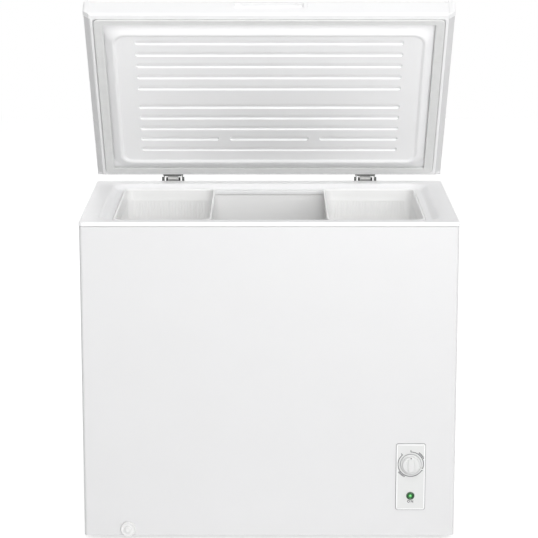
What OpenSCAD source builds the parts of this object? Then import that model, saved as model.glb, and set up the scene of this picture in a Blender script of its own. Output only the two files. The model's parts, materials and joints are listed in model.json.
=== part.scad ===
// Chest freezer: a foamed steel cabinet with a hinged lid, two baskets and a compressor bay.
// X runs to the right, Y to the back and Z up. The origin lies on the ground, under the middle.

/* [Cabinet] */
// Width of the steel cabinet
cab_w = 945; // [905:5:1085]
// Depth of the steel cabinet
cab_d = 580; // [560:5:660]
// Height of the cabinet, from its underside to the top of its collar
cab_h = 818; // [770:2:890]
// Height of the feet under the cabinet
foot_h = 12; // [8:1:24]
// Thickness of the sheet metal
sheet = 1; // [0.7:0.1:1.3]
// Radius of the cabinet's upright corners
cab_r = 8; // [5:1:9]
// Width of the flanges turned in round the cabinet's openings
flange_w = 12; // [12:1:16]

/* [Collar] */
// How far the collar stands out past the cabinet
collar_over = 1; // [0.5:0.25:1.5]
// Height of the collar's outer skirt
skirt_h = 12; // [10:1:16]
// Wall of the collar
collar_wall = 3; // [2.4:0.2:3.6]
// Width of the flat top of the collar along each side
flat_side = 46; // [42:1:52]
// Width of the flat top of the collar at the front
flat_front = 32; // [29:1:33]
// Width of the flat top of the collar at the rear
flat_rear = 45; // [40:1:46]
// Width of the slope inside the flat top
slope_w = 14; // [11:1:16]
// Drop of the slope down to the shelf
slope_drop = 14; // [12:1:16]
// Width of the shelf along each side
shelf_side = 8; // [6:1:10]
// Width of the shelf at the front, where the baskets hang
shelf_front = 23; // [20:1:26]
// Width of the shelf at the rear, where the baskets hang
shelf_rear = 19; // [17:1:22]
// Height of the lip that hangs down inside the liner
lip_h = 10; // [7:1:14]
// Corner radius of the lip's opening
opening_r = 27; // [22:1:32]

/* [Inner tub] */
// Height of the tub's floor above the cabinet's underside
floor_up = 65; // [58:1:74]
// Distance from the tub's step to the cabinet's right side
step_side = 277.5; // [262.5:2.5:292.5]
// Height of the tub's step above the cabinet's underside
step_up = 318; // [306:2:340]
// Width of the tub's top flange
tub_flange = 9; // [6:1:11]

/* [Compressor bay] */
// Width of the bay, from its inner wall to the cabinet's right side
bay_w = 212.5; // [206.5:0.5:220.5]
// Height of the bay's ceiling above the cabinet's underside
bay_up = 253; // [245:1:262]
// Distance from the compressor's middle to the cabinet's back
compressor_back = 160; // [150:2:175]
// Radius of the compressor's shell
shell_r = 68; // [60:1:74]
// Height of the compressor's shell
shell_h = 160; // [145:1:175]
// Rounding of the shell's top and bottom
shell_round = 34; // [26:1:44]
// Spacing of the compressor's feet across the bay
grommet_dx = 150; // [140:2:160]
// Spacing of the compressor's feet along the bay
grommet_dy = 100; // [90:2:110]
// Diameter of the rubber grommets
grommet_d = 24; // [20:1:28]
// Height of the rubber grommets
grommet_h = 16; // [12:1:20]
// Diameter of the compressor's bolts
bolt_d = 8; // [6:1:9]
// Thickness of the compressor's foot and of the plate under it
plate_t = 3; // [2:0.5:4]
// Width of the relay cover
relay_w = 56; // [48:2:64]
// Depth of the relay cover
relay_d = 30; // [24:1:36]
// Height of the relay cover
relay_h = 62; // [54:2:70]
// Diameter of the filter dryer
dryer_d = 20; // [16:1:24]
// Length of the filter dryer's body
dryer_l = 90; // [80:2:100]

/* [Tubes in the foam] */
// Diameter of the evaporator's tube
evap_d = 8; // [6.5:0.5:9]
// Number of turns of the evaporator round the tub
evap_turns = 7; // [5:2:7]
// Height between two turns of the evaporator
evap_pitch = 64; // [56:2:66]
// Diameter of the condenser's tube
cond_d = 5; // [4:0.5:6]
// Number of upright runs of the condenser
cond_runs = 6; // [4:2:8]
// Diameter of the capillary tube
capillary_d = 2.5; // [2:0.25:3]

/* [Controls] */
// Width of the control panel
panel_w = 73; // [69:1:78]
// Height of the control panel
panel_h = 174; // [166:2:184]
// Thickness of the control panel's face
panel_t = 3; // [2.5:0.5:4]
// Distance from the panel's middle to the cabinet's right side
panel_side = 113; // [106:1:118]
// Height of the panel's middle above the cabinet's underside
panel_up = 157; // [148:1:160]
// Diameter of the thermostat knob
knob_d = 52; // [46:1:58]
// Height of the thermostat knob
knob_h = 16; // [13:1:19]
// Diameter of the raised face on the knob
knob_face_d = 44; // [40:1:45]
// Width of the knob's grip bar
grip_w = 9; // [7:1:12]
// Height of the knob's middle above the panel's middle
knob_rise = 34; // [30:1:38]
// Depth of the indicator lamp's middle below the panel's middle
lamp_fall = 50; // [44:1:54]
// Diameter of the indicator lens
lens_d = 19; // [16:1:22]
// Diameter of the thermostat's shaft
shaft_d = 6; // [5:0.5:7]

/* [Drain] */
// Distance from the drain's middle to the cabinet's left side
drain_side = 112; // [108:1:124]
// Height of the drain outlet above the cabinet's underside
drain_up = 18; // [17:0.5:20]
// Outer diameter of the drain tube
drain_d = 22; // [20:0.5:23]
// Bore of the drain tube
drain_bore = 16; // [14:0.5:17]
// Diameter of the drain cap
drain_cap_d = 39; // [34:1:40]
// Depth of the drain cap
drain_cap_t = 10; // [8:1:13]

/* [Lid] */
// Thickness of the lid
lid_t = 50; // [46:1:56]
// How far the lid's front edge stands past the cabinet's front
lid_front_over = 15; // [13:0.5:21]
// Gap between the collar and the closed lid's edge
lid_gap = 6; // [5:0.5:7]
// How far the closed lid's rear edge stands past the cabinet's back
lid_over = 5; // [3:1:6]
// Angle at which the lid stands open
lid_open = 52.5; // [45:0.5:70]
// Rounding of the lid's top edges
lid_r = 10; // [7:1:12]
// Width of the bevel under each side of the lid
bevel_w = 15; // [12:1:17]
// Height of the bevel under each side of the lid
bevel_h = 12; // [9:1:14]
// Thickness of the lid's plastic inner panel
liner_t = 2; // [1.5:0.25:2.5]
// Depth of the inner panel's edge inside the lid's skirt
panel_sunk = 4; // [3:0.5:5]
// Width of the gasket
gasket_w = 20; // [18:1:21]
// Distance from the gasket to the lid's side
gasket_side = 21.5; // [20:0.5:24]
// Distance from the gasket to the lid's rear edge
gasket_rear = 14; // [12:1:15]
// Distance from the gasket to the lid's front edge
gasket_front = 17; // [17:1:19]
// Width of the slope on the outside of the panel's raised rim
dyke_slope = 16; // [14:1:18]
// Width of the crest of the panel's raised rim
dyke_crest = 8; // [6:1:10]
// Width of the slope on the inside of the panel's raised rim
dyke_inner = 9; // [7:1:11]
// How far the raised rim stands down past the lid's edge
dyke_drop = 10; // [9:0.5:11]
// Height of the panel's middle field above the crest of the rim
field_rise = 4; // [3:0.5:5]
// Corner radius of the raised rim
dyke_r = 28; // [24:1:32]
// Number of grooves in each half of the panel
groove_rows = 5; // [3:1:5]
// Distance from the panel's middle to the first groove
groove_first = 34.5; // [32:0.5:38]
// Distance between grooves
groove_pitch = 41; // [39:0.5:42]
// Distance from the end of a groove to the lid's side
groove_side = 126.5; // [122.5:0.5:142.5]
// Width of a groove
groove_w = 9; // [7:0.5:10]
// Depth of a groove
groove_t = 3; // [2:0.25:3.5]
// Depth of the trim along the lid's front edge
trim_d = 15; // [14:0.5:16]
// Width of the end caps beside the trim
cap_w = 17; // [15:1:19]
// How far the end caps stand proud of the lid
cap_proud = 1.5; // [0.75:0.25:2]
// Width of the handle scoop
scoop_w = 175; // [160:1:190]
// Height of the handle scoop
scoop_h = 18; // [16:1:20]
// Depth of the handle scoop
scoop_d = 11; // [9:0.5:12]
// Height of the handle scoop above the lid's underside
scoop_up = 24; // [21:1:24]

/* [Hinges] */
// Distance from each hinge's middle to the cabinet's side
hinge_side = 207.5; // [182.5:2.5:222.5]
// Distance from the hinge pin back to the cabinet's back
pin_back = 14; // [14:0.5:16]
// Height of the hinge pin above the collar
pin_up = 16; // [15:0.5:18]
// Diameter of the hinge pin
pin_d = 6; // [5:0.25:6.5]
// Radius of the eyes round the hinge pin
eye_r = 6.5; // [6:0.25:7]
// Thickness of the hinge plates
hinge_t = 2; // [1.5:0.25:2.5]
// Width of the bracket's back plate
bracket_w = 62; // [58:1:70]
// Distance from the hinge's middle to the inner face of each bracket ear
ear_x = 24; // [23:0.5:26]
// Height of the bracket below the pin
bracket_h = 96; // [92:1:110]
// Width of the lid leaf
leaf_w = 46; // [43:1:47]
// Height of the lid leaf
leaf_h = 38; // [36:1:38]
// Width of the cam
cam_w = 28; // [24:1:30]
// Radius of the cam straight below the pin, at rest
cam_r = 15; // [14:0.25:15.5]
// How much the cam's radius falls with each turn of one radian
cam_lead = 4.72; // [4.6:0.02:4.8]
// Mean radius of the lid spring
spring_r = 7; // [6:0.25:7.5]
// Thickness of the spring's wire
wire_d = 2.4; // [2:0.1:2.6]
// Number of turns in the spring
spring_turns = 9; // [7:1:10]
// Diameter of the follower's guide rod
rod_d = 5; // [4:0.25:6]
// Diameter of the hinge screws
screw_d = 4.8; // [4:0.2:5]

/* [Baskets] */
// Width of a basket over its rim
basket_w = 248; // [230:2:256]
// Depth of a basket from its rim to its floor
basket_h = 185; // [170:1:200]
// Gap between a basket's rim and the lip beside it, at rest
basket_gap = 10.5; // [8:0.5:14]
// Diameter of a basket's rim
rim_d = 6; // [5:0.25:7]
// Wall of a basket
basket_wall = 2; // [1.6:0.1:2.6]
// Corner radius of a basket's rim
basket_r = 28; // [24:1:32]
// How far the rim reaches over the shelves
rim_over = 4; // [4:0.25:5]

/* [Hidden] */
$fn = 48;

// Clearances, shared by every fit
fit = 0.05;
seat = 0.3;
cut = 1;
knob_gap = 0.5;

// The cabinet's levels and faces
z_under = foot_h;
z_top = foot_h + cab_h;
z_seam = z_top - skirt_h;
z_pan = z_under + 2 * sheet;
side_x = cab_w / 2;
pin_to_lid_rear = pin_back - lid_over;
z_lid = z_top + lid_gap;
lid_l = lid_over + cab_d + lid_front_over;
z_pin = z_top + pin_up;
front_reach = panel_t + knob_gap + knob_h;
rear_reach = pin_back - pin_to_lid_rear * cos(lid_open) + (lid_gap + lid_t - pin_up) * sin(lid_open);
y_front = round(-(cab_d + front_reach + rear_reach) / 2 + front_reach);
y_rear = y_front + cab_d;
y_pin = y_rear + pin_back;
y_lid_rear = y_rear + lid_over;
y_back_sheet = y_rear - sheet;
y_foam_rear = y_rear - 2 * sheet;
return_w = flange_w + 2;

// The collar's steps, as distances in from the cabinet's faces
foot_side = flat_side + slope_w;
foot_front = flat_front + slope_w;
foot_rear = flat_rear + slope_w;
lip_side = foot_side + shelf_side;
lip_front = foot_front + shelf_front;
lip_rear = foot_rear + shelf_rear;
rib_in = 6;
seam_gap = 1.5;
z_shelf = z_top - slope_drop;

// The tub stands just outside the lip, with its step at the right
step_x = side_x - step_side;
tub_in = collar_wall + seat;
tub_r = opening_r + tub_in;
z_floor = z_under + floor_up;
z_step = z_under + step_up;
z_tub_top = z_shelf - collar_wall;

// The compressor bay
bay_x = side_x - bay_w;
z_bay = z_under + bay_up;
bay_mid_x = (bay_x + side_x) / 2;
y_compressor = y_rear - compressor_back;
z_plate = z_pan + plate_t;
z_foot = z_plate + grommet_h;
z_shell = z_foot + plate_t;
bolt_head_h = 5;
bolt_head_d = bolt_d * 1.8;
terminal_out = 8;
y_relay = y_compressor - shell_r - terminal_out;
z_relay = z_shell + shell_h / 2;

// The evaporator winds round the tub, above its step
evap_gap = evap_d / 2 + 2 * seat;
z_evap = z_step + 34;
evap_x = side_x - lip_side + tub_in + sheet + evap_gap;
evap_y_front = y_front + lip_front - tub_in - sheet - evap_gap;
evap_y_rear = y_rear - lip_rear + tub_in + sheet + evap_gap;
evap_r = tub_r + sheet + evap_gap;
evap_end_right = side_x - 116.5;
evap_end_left = evap_end_right - 7 * evap_d;
z_evap_top = z_evap + (evap_turns - 1) * evap_pitch;
suction_x = evap_end_left + 2 * evap_d;

// The condenser lies against the right side
cond_x = side_x - sheet - cond_d / 2 - 2 * seat;
cond_y_rear = y_rear - 70;
cond_y_front = y_front + 110;
cond_pitch = (cond_y_rear - cond_y_front) / (cond_runs - 1);
z_cond_low = z_bay + 45;
z_cond_high = z_seam - 70;

// The dryer hangs in the bay, under the condenser's last run
dryer_x = side_x - 40;
y_dryer = cond_y_front;
z_dryer = z_under + 70;

// The sensing bulb
bulb_x = step_x + 45;
bulb_l = 80;
bulb_r = 3;
z_bulb = z_evap + evap_pitch / 2;
y_bulb = y_front + lip_front - tub_in - sheet - bulb_r - 2 * seat;

// The controls, in front of the bay
panel_x = side_x - panel_side;
z_panel = z_under + panel_up;
z_knob = z_panel + knob_rise;
z_lamp = z_panel - lamp_fall;
housing_in = 6;
housing_d = 20;
housing_w = panel_w - 2 * housing_in;
housing_h = panel_h - 2 * housing_in;
neck_d = shaft_d + 4;
thermostat_w = 46;
thermostat_h = 44;
thermostat_d = 26;
y_thermostat = y_front + 2;
lamp_d = 8;
lens_stem_d = 12;
lens_proud = 1.5;
lamp_l = 22;

// The drain
drain_x = -side_x + drain_side;
z_drain = z_under + drain_up;
drain_bend = 25;
y_drain = y_front + 104;
spigot_l = 20;
plug_d = 30;
plug_t = 4;
plug_stem = 15;

// The feet
foot_in = 55;
foot_d = 38;
stud_d = 8;
stud_h = 18;
boss_d = 16;
boss_h = 20;

// The rear of the bay
grille_x = bay_mid_x;
grille_w = 140;
grille_h = 190;
grille_frame = 10;
grille_t = 2.5;
grille_slots = 9;
z_grille = z_under + 132;
gland_x = bay_x + 12;
z_gland = z_under + 48;
gland_d = 16;
gland_bore = 8;

// The lid's places, with v measured forward from its rear edge
lid_half = side_x;
v_trim = lid_l - trim_d;
gasket_x = lid_half - gasket_side;
v_gasket_front = lid_l - gasket_front;
dyke_x = gasket_x - gasket_w - 1;
v_dyke_front = v_gasket_front - gasket_w;
v_dyke_rear = gasket_rear + gasket_w + 3;
z_panel_edge = z_lid + panel_sunk;
z_crest = z_lid - dyke_drop;
z_field = z_crest + field_rise;
cap_x = lid_half + cap_proud - cap_w;
groove_l = 2 * (lid_half - groove_side);
v_groove_mid = (v_dyke_front + v_dyke_rear) / 2 + 4;
split_gap = 29;
split_mid = 212;

// The hinges
hinge_x = side_x - hinge_side;
bracket_plate_y = y_back_sheet - y_pin;
leaf_y = -pin_to_lid_rear;
z_collar_under_pin = -pin_up - skirt_h - 2;
cam_from = -58;
cam_to = 40;
cam_step = 3.5;
ridge_r = 2;
ridge_gap = 0.4;
head_h = 8;
head_w = 14;
z_ridge = -cam_r - ridge_gap - ridge_r;
z_tab = -bracket_h + 10;
rod_end = -bracket_h + 1;
bracket_screw_x = 16;
leaf_screw_x = 16;
bracket_screw_z = [-46, -72];
leaf_screw_z = [14, 24];
screw_l = 18;
screw_head_d = 8;
screw_head_h = 2.6;
z_leaf = -(pin_up - lid_gap) + 1;

// The baskets
basket_x = side_x - lip_side - basket_gap - basket_w / 2;
z_rim = z_shelf + rim_d / 2 + seat;
rim_y_front = y_front + lip_front - rim_over;
rim_y_rear = y_rear - lip_rear + rim_over;
tub_clear = 4;
tub_y_front = y_front + lip_front + tub_clear;
tub_y_rear = y_rear - lip_rear - tub_clear;

// ---- Shapes that repeat ----

// A rectangle with round corners, made from rectangles and circles so that it stays exact
module rounded_rect(w, d, r) {
    square([w - 2 * r, d], center = true);
    square([w, d - 2 * r], center = true);
    for (sx = [-1, 1], sy = [-1, 1])
        translate([sx * (w / 2 - r), sy * (d / 2 - r)])
            circle(r);
}

// The same, given by its half width and its front and rear faces
module plan(x, y1, y2, r) {
    translate([0, (y1 + y2) / 2])
        rounded_rect(2 * x, y2 - y1, r);
}

module slab(z1, z2) {
    translate([0, 0, z1])
        linear_extrude(z2 - z1)
            children();
}

// The cabinet's outline, a given distance in from its faces
module cabinet_plan(inset) {
    plan(side_x - inset, y_front + inset, y_rear - inset, max(cab_r - inset, 1));
}

// An outline inside the collar, given by its distances in from the cabinet's faces
module opening_plan(side, front, rear, r) {
    plan(side_x - side, y_front + front, y_rear - rear, r);
}

// A funnel between two levels, with round corners
module funnel(z1, z2) {
    hull($fn = 32) {
        slab(z1, z1 + 0.01) children(0);
        slab(z2 - 0.01, z2) children(1);
    }
}

// A straight rod between two points
module rod(p, q, r) {
    d = q - p;
    translate(p)
        rotate([0, acos(d.z / norm(d)), atan2(d.y, d.x)])
            cylinder(h = norm(d), r = r);
}

// A pipe along a list of points, with a ball at each bend
module pipe(points, r) {
    for (i = [0 : len(points) - 2])
        rod(points[i], points[i + 1], r);
    if (len(points) > 2)
        for (i = [1 : len(points) - 2])
            translate(points[i])
                sphere(r * 1.06);
}

// A quarter bend, centred on the origin, from the +X axis to the +Y axis
module bend(bend_r, r) {
    rotate_extrude(angle = 90)
        translate([bend_r, 0])
            circle(r);
}

// A bolt or screw head with its shank, pointing down from z = 0
module screw(shank_d, shank_l, head_d, head_h, sides = 48) {
    cylinder(d = head_d, h = head_h, $fn = sides);
    translate([0, 0, -shank_l])
        cylinder(d = shank_d, h = shank_l);
}

// ---- Cabinet ----

module foot_places() {
    for (sx = [-1, 1], y = [y_front + foot_in, y_rear - foot_in])
        translate([sx * (side_x - foot_in), y, 0])
            children();
}

module rear_screw_places() {
    for (sx = [-1, 1], k = [0 : 2])
        translate([sx * (side_x - (return_w + cab_r) / 2), y_rear, z_under + 60 + k * (cab_h - 140) / 2])
            rotate([-90, 0, 0])
                children();
}

module cabinet_wrap() {
    color("white")
    difference() {
        union() {
            slab(z_under, z_seam)
                difference() {
                    cabinet_plan(0);
                    cabinet_plan(sheet);
                }
            for (z = [z_under, z_seam - sheet])
                slab(z, z + sheet)
                    difference() {
                        cabinet_plan(sheet / 2);
                        cabinet_plan(flange_w);
                    }
        }
        translate([0, y_rear, 0])
            slab(z_under - cut, z_seam + cut)
                square([cab_w - 2 * return_w, 2 * return_w], center = true);
        translate([panel_x, y_front, z_panel])
            cube([housing_w + 2 * seat, 3 * sheet, housing_h + 2 * seat], center = true);
        translate([drain_x, y_front, z_drain])
            rotate([90, 0, 0])
                cylinder(d = drain_d + 2 * seat, h = 3 * sheet, center = true);
        rear_screw_places()
            cylinder(d = screw_d + 2 * fit, h = 6 * sheet, center = true);
    }
}

module rear_panel() {
    color("gainsboro")
    difference() {
        translate([-side_x + cab_r, y_foam_rear, z_under + sheet])
            cube([cab_w - 2 * cab_r, sheet, z_seam - z_under - 2 * sheet]);
        translate([grille_x, y_rear, z_grille])
            cube([grille_w, 6 * sheet, grille_h], center = true);
        translate([gland_x, y_rear, z_gland])
            rotate([90, 0, 0])
                cylinder(d = gland_d + 2 * fit, h = 6 * sheet, center = true);
        rear_screw_places()
            cylinder(d = screw_d + 2 * fit, h = 8 * sheet, center = true);
        bracket_screw_places()
            cylinder(d = screw_d + 2 * fit, h = 12 * sheet, center = true);
    }
}

module rear_panel_screws() {
    color("silver")
    rear_screw_places()
        screw(screw_d, screw_l, screw_head_d, screw_head_h);
}

module base_pan() {
    color("silver")
    difference() {
        union() {
            slab(z_under + sheet, z_pan)
                plan(side_x - sheet, y_front + sheet, y_foam_rear, cab_r - sheet);
            foot_places()
                translate([0, 0, z_under + sheet])
                    cylinder(d = boss_d, h = boss_h);
        }
        foot_places()
            cylinder(d = stud_d + 2 * fit, h = z_under + 2 * boss_h);
    }
}

module feet() {
    color("dimgray")
    foot_places() {
        cylinder(d = foot_d, h = z_under - 2);
        translate([0, 0, z_under - 3])
            cylinder(d = boss_d + 6, h = 3 + sheet);
        translate([0, 0, z_under - 2])
            cylinder(d = stud_d, h = stud_h);
    }
}

module collar() {
    color("white")
    difference() {
        union() {
            slab(z_top - collar_wall, z_top)
                cabinet_plan(-collar_over);
            slab(z_seam + seam_gap, z_top)
                difference() {
                    cabinet_plan(-collar_over);
                    cabinet_plan(collar_wall - collar_over);
                }
            slab(z_seam, z_top)
                difference() {
                    cabinet_plan(rib_in);
                    cabinet_plan(rib_in + collar_wall);
                }
            funnel(z_shelf - collar_wall, z_top) {
                opening_plan(foot_side - collar_wall, foot_front - collar_wall,
                    foot_rear - collar_wall, opening_r + shelf_side + collar_wall);
                opening_plan(flat_side - collar_wall, flat_front - collar_wall,
                    flat_rear - collar_wall, opening_r + foot_side - flat_side + collar_wall);
            }
            slab(z_shelf - lip_h, z_shelf)
                opening_plan(lip_side - collar_wall, lip_front - collar_wall,
                    lip_rear - collar_wall, opening_r + collar_wall);
        }
        funnel(z_shelf, z_top + 0.01) {
            opening_plan(foot_side, foot_front, foot_rear, opening_r + shelf_side);
            opening_plan(flat_side, flat_front, flat_rear, opening_r + foot_side - flat_side);
        }
        slab(z_shelf - lip_h - cut, z_top + cut)
            opening_plan(lip_side, lip_front, lip_rear, opening_r);
    }
}

// The tub's hollow, grown outward by a wall
module tub_solid(grow, z_end) {
    difference() {
        slab(z_floor - grow, z_end)
            opening_plan(lip_side - tub_in - grow, lip_front - tub_in - grow,
                lip_rear - tub_in - grow, tub_r + grow);
        translate([step_x + grow, y_front, z_under])
            cube([cab_w, cab_d, step_up - grow]);
    }
}

module inner_liner() {
    color("whitesmoke")
    difference() {
        union() {
            tub_solid(sheet, z_tub_top);
            slab(z_tub_top - sheet, z_tub_top)
                opening_plan(lip_side - tub_in - tub_flange, lip_front - tub_in - tub_flange,
                    lip_rear - tub_in - tub_flange, tub_r + tub_flange);
        }
        tub_solid(0, z_top);
        translate([drain_x, y_drain, z_floor])
            cylinder(d = drain_d + 2 * seat, h = 4 * sheet, center = true);
    }
}

module insulation_foam() {
    color("khaki")
    difference() {
        union() {
            slab(z_pan, z_tub_top - sheet)
                plan(side_x - sheet, y_front + sheet, y_foam_rear, cab_r - sheet);
            slab(z_tub_top - sheet, z_seam - sheet)
                difference() {
                    plan(side_x - sheet, y_front + sheet, y_foam_rear, cab_r - sheet);
                    foam_mouth();
                }
            slab(z_seam - sheet, z_top - collar_wall)
                difference() {
                    cabinet_plan(flange_w + seat);
                    foam_mouth();
                }
        }
        tub_solid(sheet, z_top);
        translate([bay_x, y_front, z_under])
            cube([cab_w, cab_d, bay_up]);
        foot_places()
            cylinder(d = boss_d + 2 * seat, h = z_under + sheet + boss_h + 2 * seat);
        evaporator_channels();
        condenser_path(cond_d / 2 + seat);
        suction_path(evap_d / 2 + seat);
        discharge_path(cond_d / 2 + seat);
        condenser_return(cond_d / 2 + seat);
        capillary_path(capillary_d / 2 + seat);
        bulb_path(seat);
        drain_outline(drain_d / 2 + seat);
        rear_screw_places()
            cylinder(d = screw_d + 2 * seat, h = 4 * screw_l, center = true);
        bracket_screw_places()
            cylinder(d = screw_d + 2 * seat, h = 4 * screw_l, center = true);
        translate([panel_x, y_front, z_panel])
            cube([housing_w + 4 * seat, 2 * housing_d + 4, housing_h + 4 * seat], center = true);
    }
}

module foam_mouth() {
    opening_plan(flat_side - collar_wall - seat, flat_front - collar_wall - seat,
        flat_rear - collar_wall - seat, opening_r + slope_w + collar_wall);
}

// ---- Cooling circuit ----

// One turn of the evaporator, open at the rear between its two ends
module evaporator_turn(z, r) {
    corner_x = evap_x - evap_r;
    corner_front = evap_y_front + evap_r;
    corner_rear = evap_y_rear - evap_r;
    rod([-corner_x, evap_y_front, z], [corner_x, evap_y_front, z], r);
    rod([-evap_x, corner_front, z], [-evap_x, corner_rear, z], r);
    rod([evap_x, corner_front, z], [evap_x, corner_rear, z], r);
    rod([-corner_x, evap_y_rear, z], [evap_end_left, evap_y_rear, z], r);
    rod([evap_end_right, evap_y_rear, z], [corner_x, evap_y_rear, z], r);
    for (c = [[-corner_x, corner_front, 180], [corner_x, corner_front, 270],
              [corner_x, corner_rear, 0], [-corner_x, corner_rear, 90]])
        translate([c.x, c.y, z])
            rotate(c.z)
                bend(evap_r, r);
}

// The room that the foam leaves for the evaporator
module evaporator_channels() {
    reach = evap_d / 2 + seat;
    for (k = [0 : evap_turns - 1])
        slab(z_evap + k * evap_pitch - reach, z_evap + k * evap_pitch + reach)
            plan(evap_x + reach, evap_y_front - reach, evap_y_rear + reach, evap_r + reach);
    for (k = [0 : evap_turns - 2])
        translate([k % 2 == 0 ? evap_end_left : evap_end_right, evap_y_rear,
            z_evap + (k + 0.5) * evap_pitch])
            cube([2 * reach, 2 * reach, evap_pitch], center = true);
}

module evaporator_path(r) {
    for (k = [0 : evap_turns - 1])
        evaporator_turn(z_evap + k * evap_pitch, r);
    for (k = [0 : evap_turns - 2]) {
        x = k % 2 == 0 ? evap_end_left : evap_end_right;
        low = [x, evap_y_rear, z_evap + k * evap_pitch];
        high = low + [0, 0, evap_pitch];
        rod(low, high, r);
        for (p = [low, high])
            translate(p)
                sphere(r * 1.06);
    }
}

module evaporator_tube() {
    color("silver")
    evaporator_path(evap_d / 2);
}

module condenser_path(r) {
    low = z_cond_low + cond_pitch / 2;
    last = cond_runs - 1;
    pipe([
        for (k = [0 : last])
            let (y = cond_y_rear - k * cond_pitch, end = k == 0 || k == last ? z_cond_low : low)
            for (z = k % 2 == 0 ? [end, z_cond_high] : [z_cond_high, end])
                [cond_x, y, z]], r);
}

module condenser_tube() {
    color("peru")
    condenser_path(cond_d / 2);
}

// The suction tube leads from the last turn down the back of the tub to the compressor
module suction_path(r) {
    pipe([
        [evap_end_left + evap_d / 2 + 1, evap_y_rear, z_evap_top],
        [suction_x + evap_d, evap_y_rear, z_evap_top],
        [suction_x + evap_d, evap_y_rear + 16, z_evap_top],
        [suction_x + evap_d, evap_y_rear + 16, z_bay - 20],
        [suction_x + evap_d, y_compressor, z_bay - 20],
        [suction_x + evap_d, y_compressor, z_shell + shell_h - 1]], r);
}

module discharge_path(r) {
    pipe([
        [cond_x, cond_y_rear, z_cond_low],
        [cond_x, cond_y_rear, z_bay - 30],
        [cond_x - 40, cond_y_rear, z_bay - 30],
        [cond_x - 40, y_compressor + 20, z_bay - 30],
        [cond_x - 40, y_compressor + 20, z_shell + shell_h - 20]], r);
}

module capillary_path(r) {
    pipe([
        [dryer_x, y_dryer, z_dryer],
        [dryer_x, y_dryer, z_dryer - 24],
        [bay_x + 24, y_dryer, z_dryer - 24],
        [bay_x + 24, y_dryer, z_bay - 12],
        [bay_x + 24, evap_y_rear + 8, z_bay - 12],
        [bay_x + 24, evap_y_rear + 8, z_evap - 14],
        [evap_end_right, evap_y_rear + 8, z_evap - 14],
        [evap_end_right, evap_y_rear, z_evap - 14],
        [evap_end_right, evap_y_rear, z_evap - evap_d / 2 - 0.4]], r);
}

module compressor_bay_shield() {
    color("silver")
    difference() {
        union() {
            translate([bay_x, y_front + sheet, z_pan])
                cube([sheet, y_foam_rear - y_front - sheet, z_bay - z_pan]);
            slab(z_bay - sheet, z_bay)
                intersection() {
                    plan(side_x - sheet, y_front + sheet, y_foam_rear, cab_r - sheet);
                    translate([bay_x, y_front])
                        square([cab_w, cab_d]);
                }
        }
        suction_path(evap_d / 2 + seat);
        discharge_path(cond_d / 2 + seat);
        condenser_return(cond_d / 2 + seat);
        capillary_path(capillary_d / 2 + seat);
        bulb_path(seat);
    }
}

module grommet_places() {
    for (sx = [-1, 1], sy = [-1, 1])
        translate([bay_mid_x + sx * grommet_dx / 2, y_compressor + sy * grommet_dy / 2, 0])
            children();
}

module compressor_plate() {
    color("silver")
    difference() {
        translate([bay_mid_x, y_compressor, z_pan + plate_t / 2])
            cube([grommet_dx + grommet_d + 16, grommet_dy + grommet_d + 16, plate_t], center = true);
        grommet_places()
            cylinder(d = bolt_d + 4 * fit, h = 2 * z_foot);
    }
}

module compressor() {
    color("#222426")
    translate([bay_mid_x, y_compressor, 0])
    difference() {
        union() {
            translate([0, 0, z_foot + plate_t / 2])
                cube([grommet_dx + grommet_d, grommet_dy + grommet_d, plate_t], center = true);
            translate([0, 0, z_shell])
                rotate_extrude() {
                    square([shell_r - shell_round, shell_h]);
                    translate([0, shell_round])
                        square([shell_r, shell_h - 2 * shell_round]);
                    for (z = [shell_round, shell_h - shell_round])
                        intersection() {
                            translate([shell_r - shell_round, z])
                                circle(shell_round);
                            square([shell_r, shell_h]);
                        }
                }
            translate([0, -shell_r, z_relay])
                cube([36, 2 * terminal_out, 40], center = true);
        }
        for (sx = [-1, 1], sy = [-1, 1])
            translate([sx * grommet_dx / 2, sy * grommet_dy / 2, z_foot - cut])
                cylinder(d = bolt_d + 4 * fit, h = plate_t + 2 * cut);
        translate([-bay_mid_x, -y_compressor, 0]) {
            suction_path(evap_d / 2 + seat);
            discharge_path(cond_d / 2 + seat);
        }
    }
}

module compressor_grommets() {
    color("#333333")
    grommet_places()
        translate([0, 0, z_plate])
            difference() {
                cylinder(d = grommet_d, h = grommet_h);
                translate([0, 0, -cut])
                    cylinder(d = bolt_d + 4 * fit, h = grommet_h + 2 * cut);
            }
}

module compressor_bolts() {
    color("silver")
    grommet_places()
        translate([0, 0, z_shell])
            screw(bolt_d, z_shell - z_pan, bolt_head_d, bolt_head_h, 6);
}

module start_relay_cover() {
    color("#333333")
    translate([bay_mid_x - relay_w / 2, y_relay - relay_d, z_relay - relay_h / 2])
        cube([relay_w, relay_d, relay_h]);
}

module discharge_tube() {
    color("peru")
    difference() {
        discharge_path(cond_d / 2);
        translate([cond_x, cond_y_rear, z_cond_low])
            cylinder(d = 3 * cond_d, h = 4 * cond_d);
    }
}

module suction_tube() {
    color("peru")
    suction_path(evap_d / 2);
}

// The condenser's last run comes down through the bay's ceiling to the dryer
module condenser_return(r) {
    pipe([
        [cond_x, cond_y_front, z_cond_low],
        [cond_x, y_dryer, z_bay - 25],
        [dryer_x, y_dryer, z_bay - 25],
        [dryer_x, y_dryer, z_dryer + dryer_l]], r);
}

module filter_dryer() {
    color("peru")
    difference() {
        union() {
            translate([dryer_x, y_dryer, z_dryer])
                rotate_extrude() {
                    square([dryer_d / 4, dryer_l]);
                    translate([0, dryer_d / 4])
                        square([dryer_d / 2, dryer_l - dryer_d / 2]);
                }
            condenser_return(cond_d / 2);
        }
        translate([cond_x, cond_y_front, z_cond_low])
            cylinder(d = 3 * cond_d, h = 4 * cond_d);
    }
}

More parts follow.
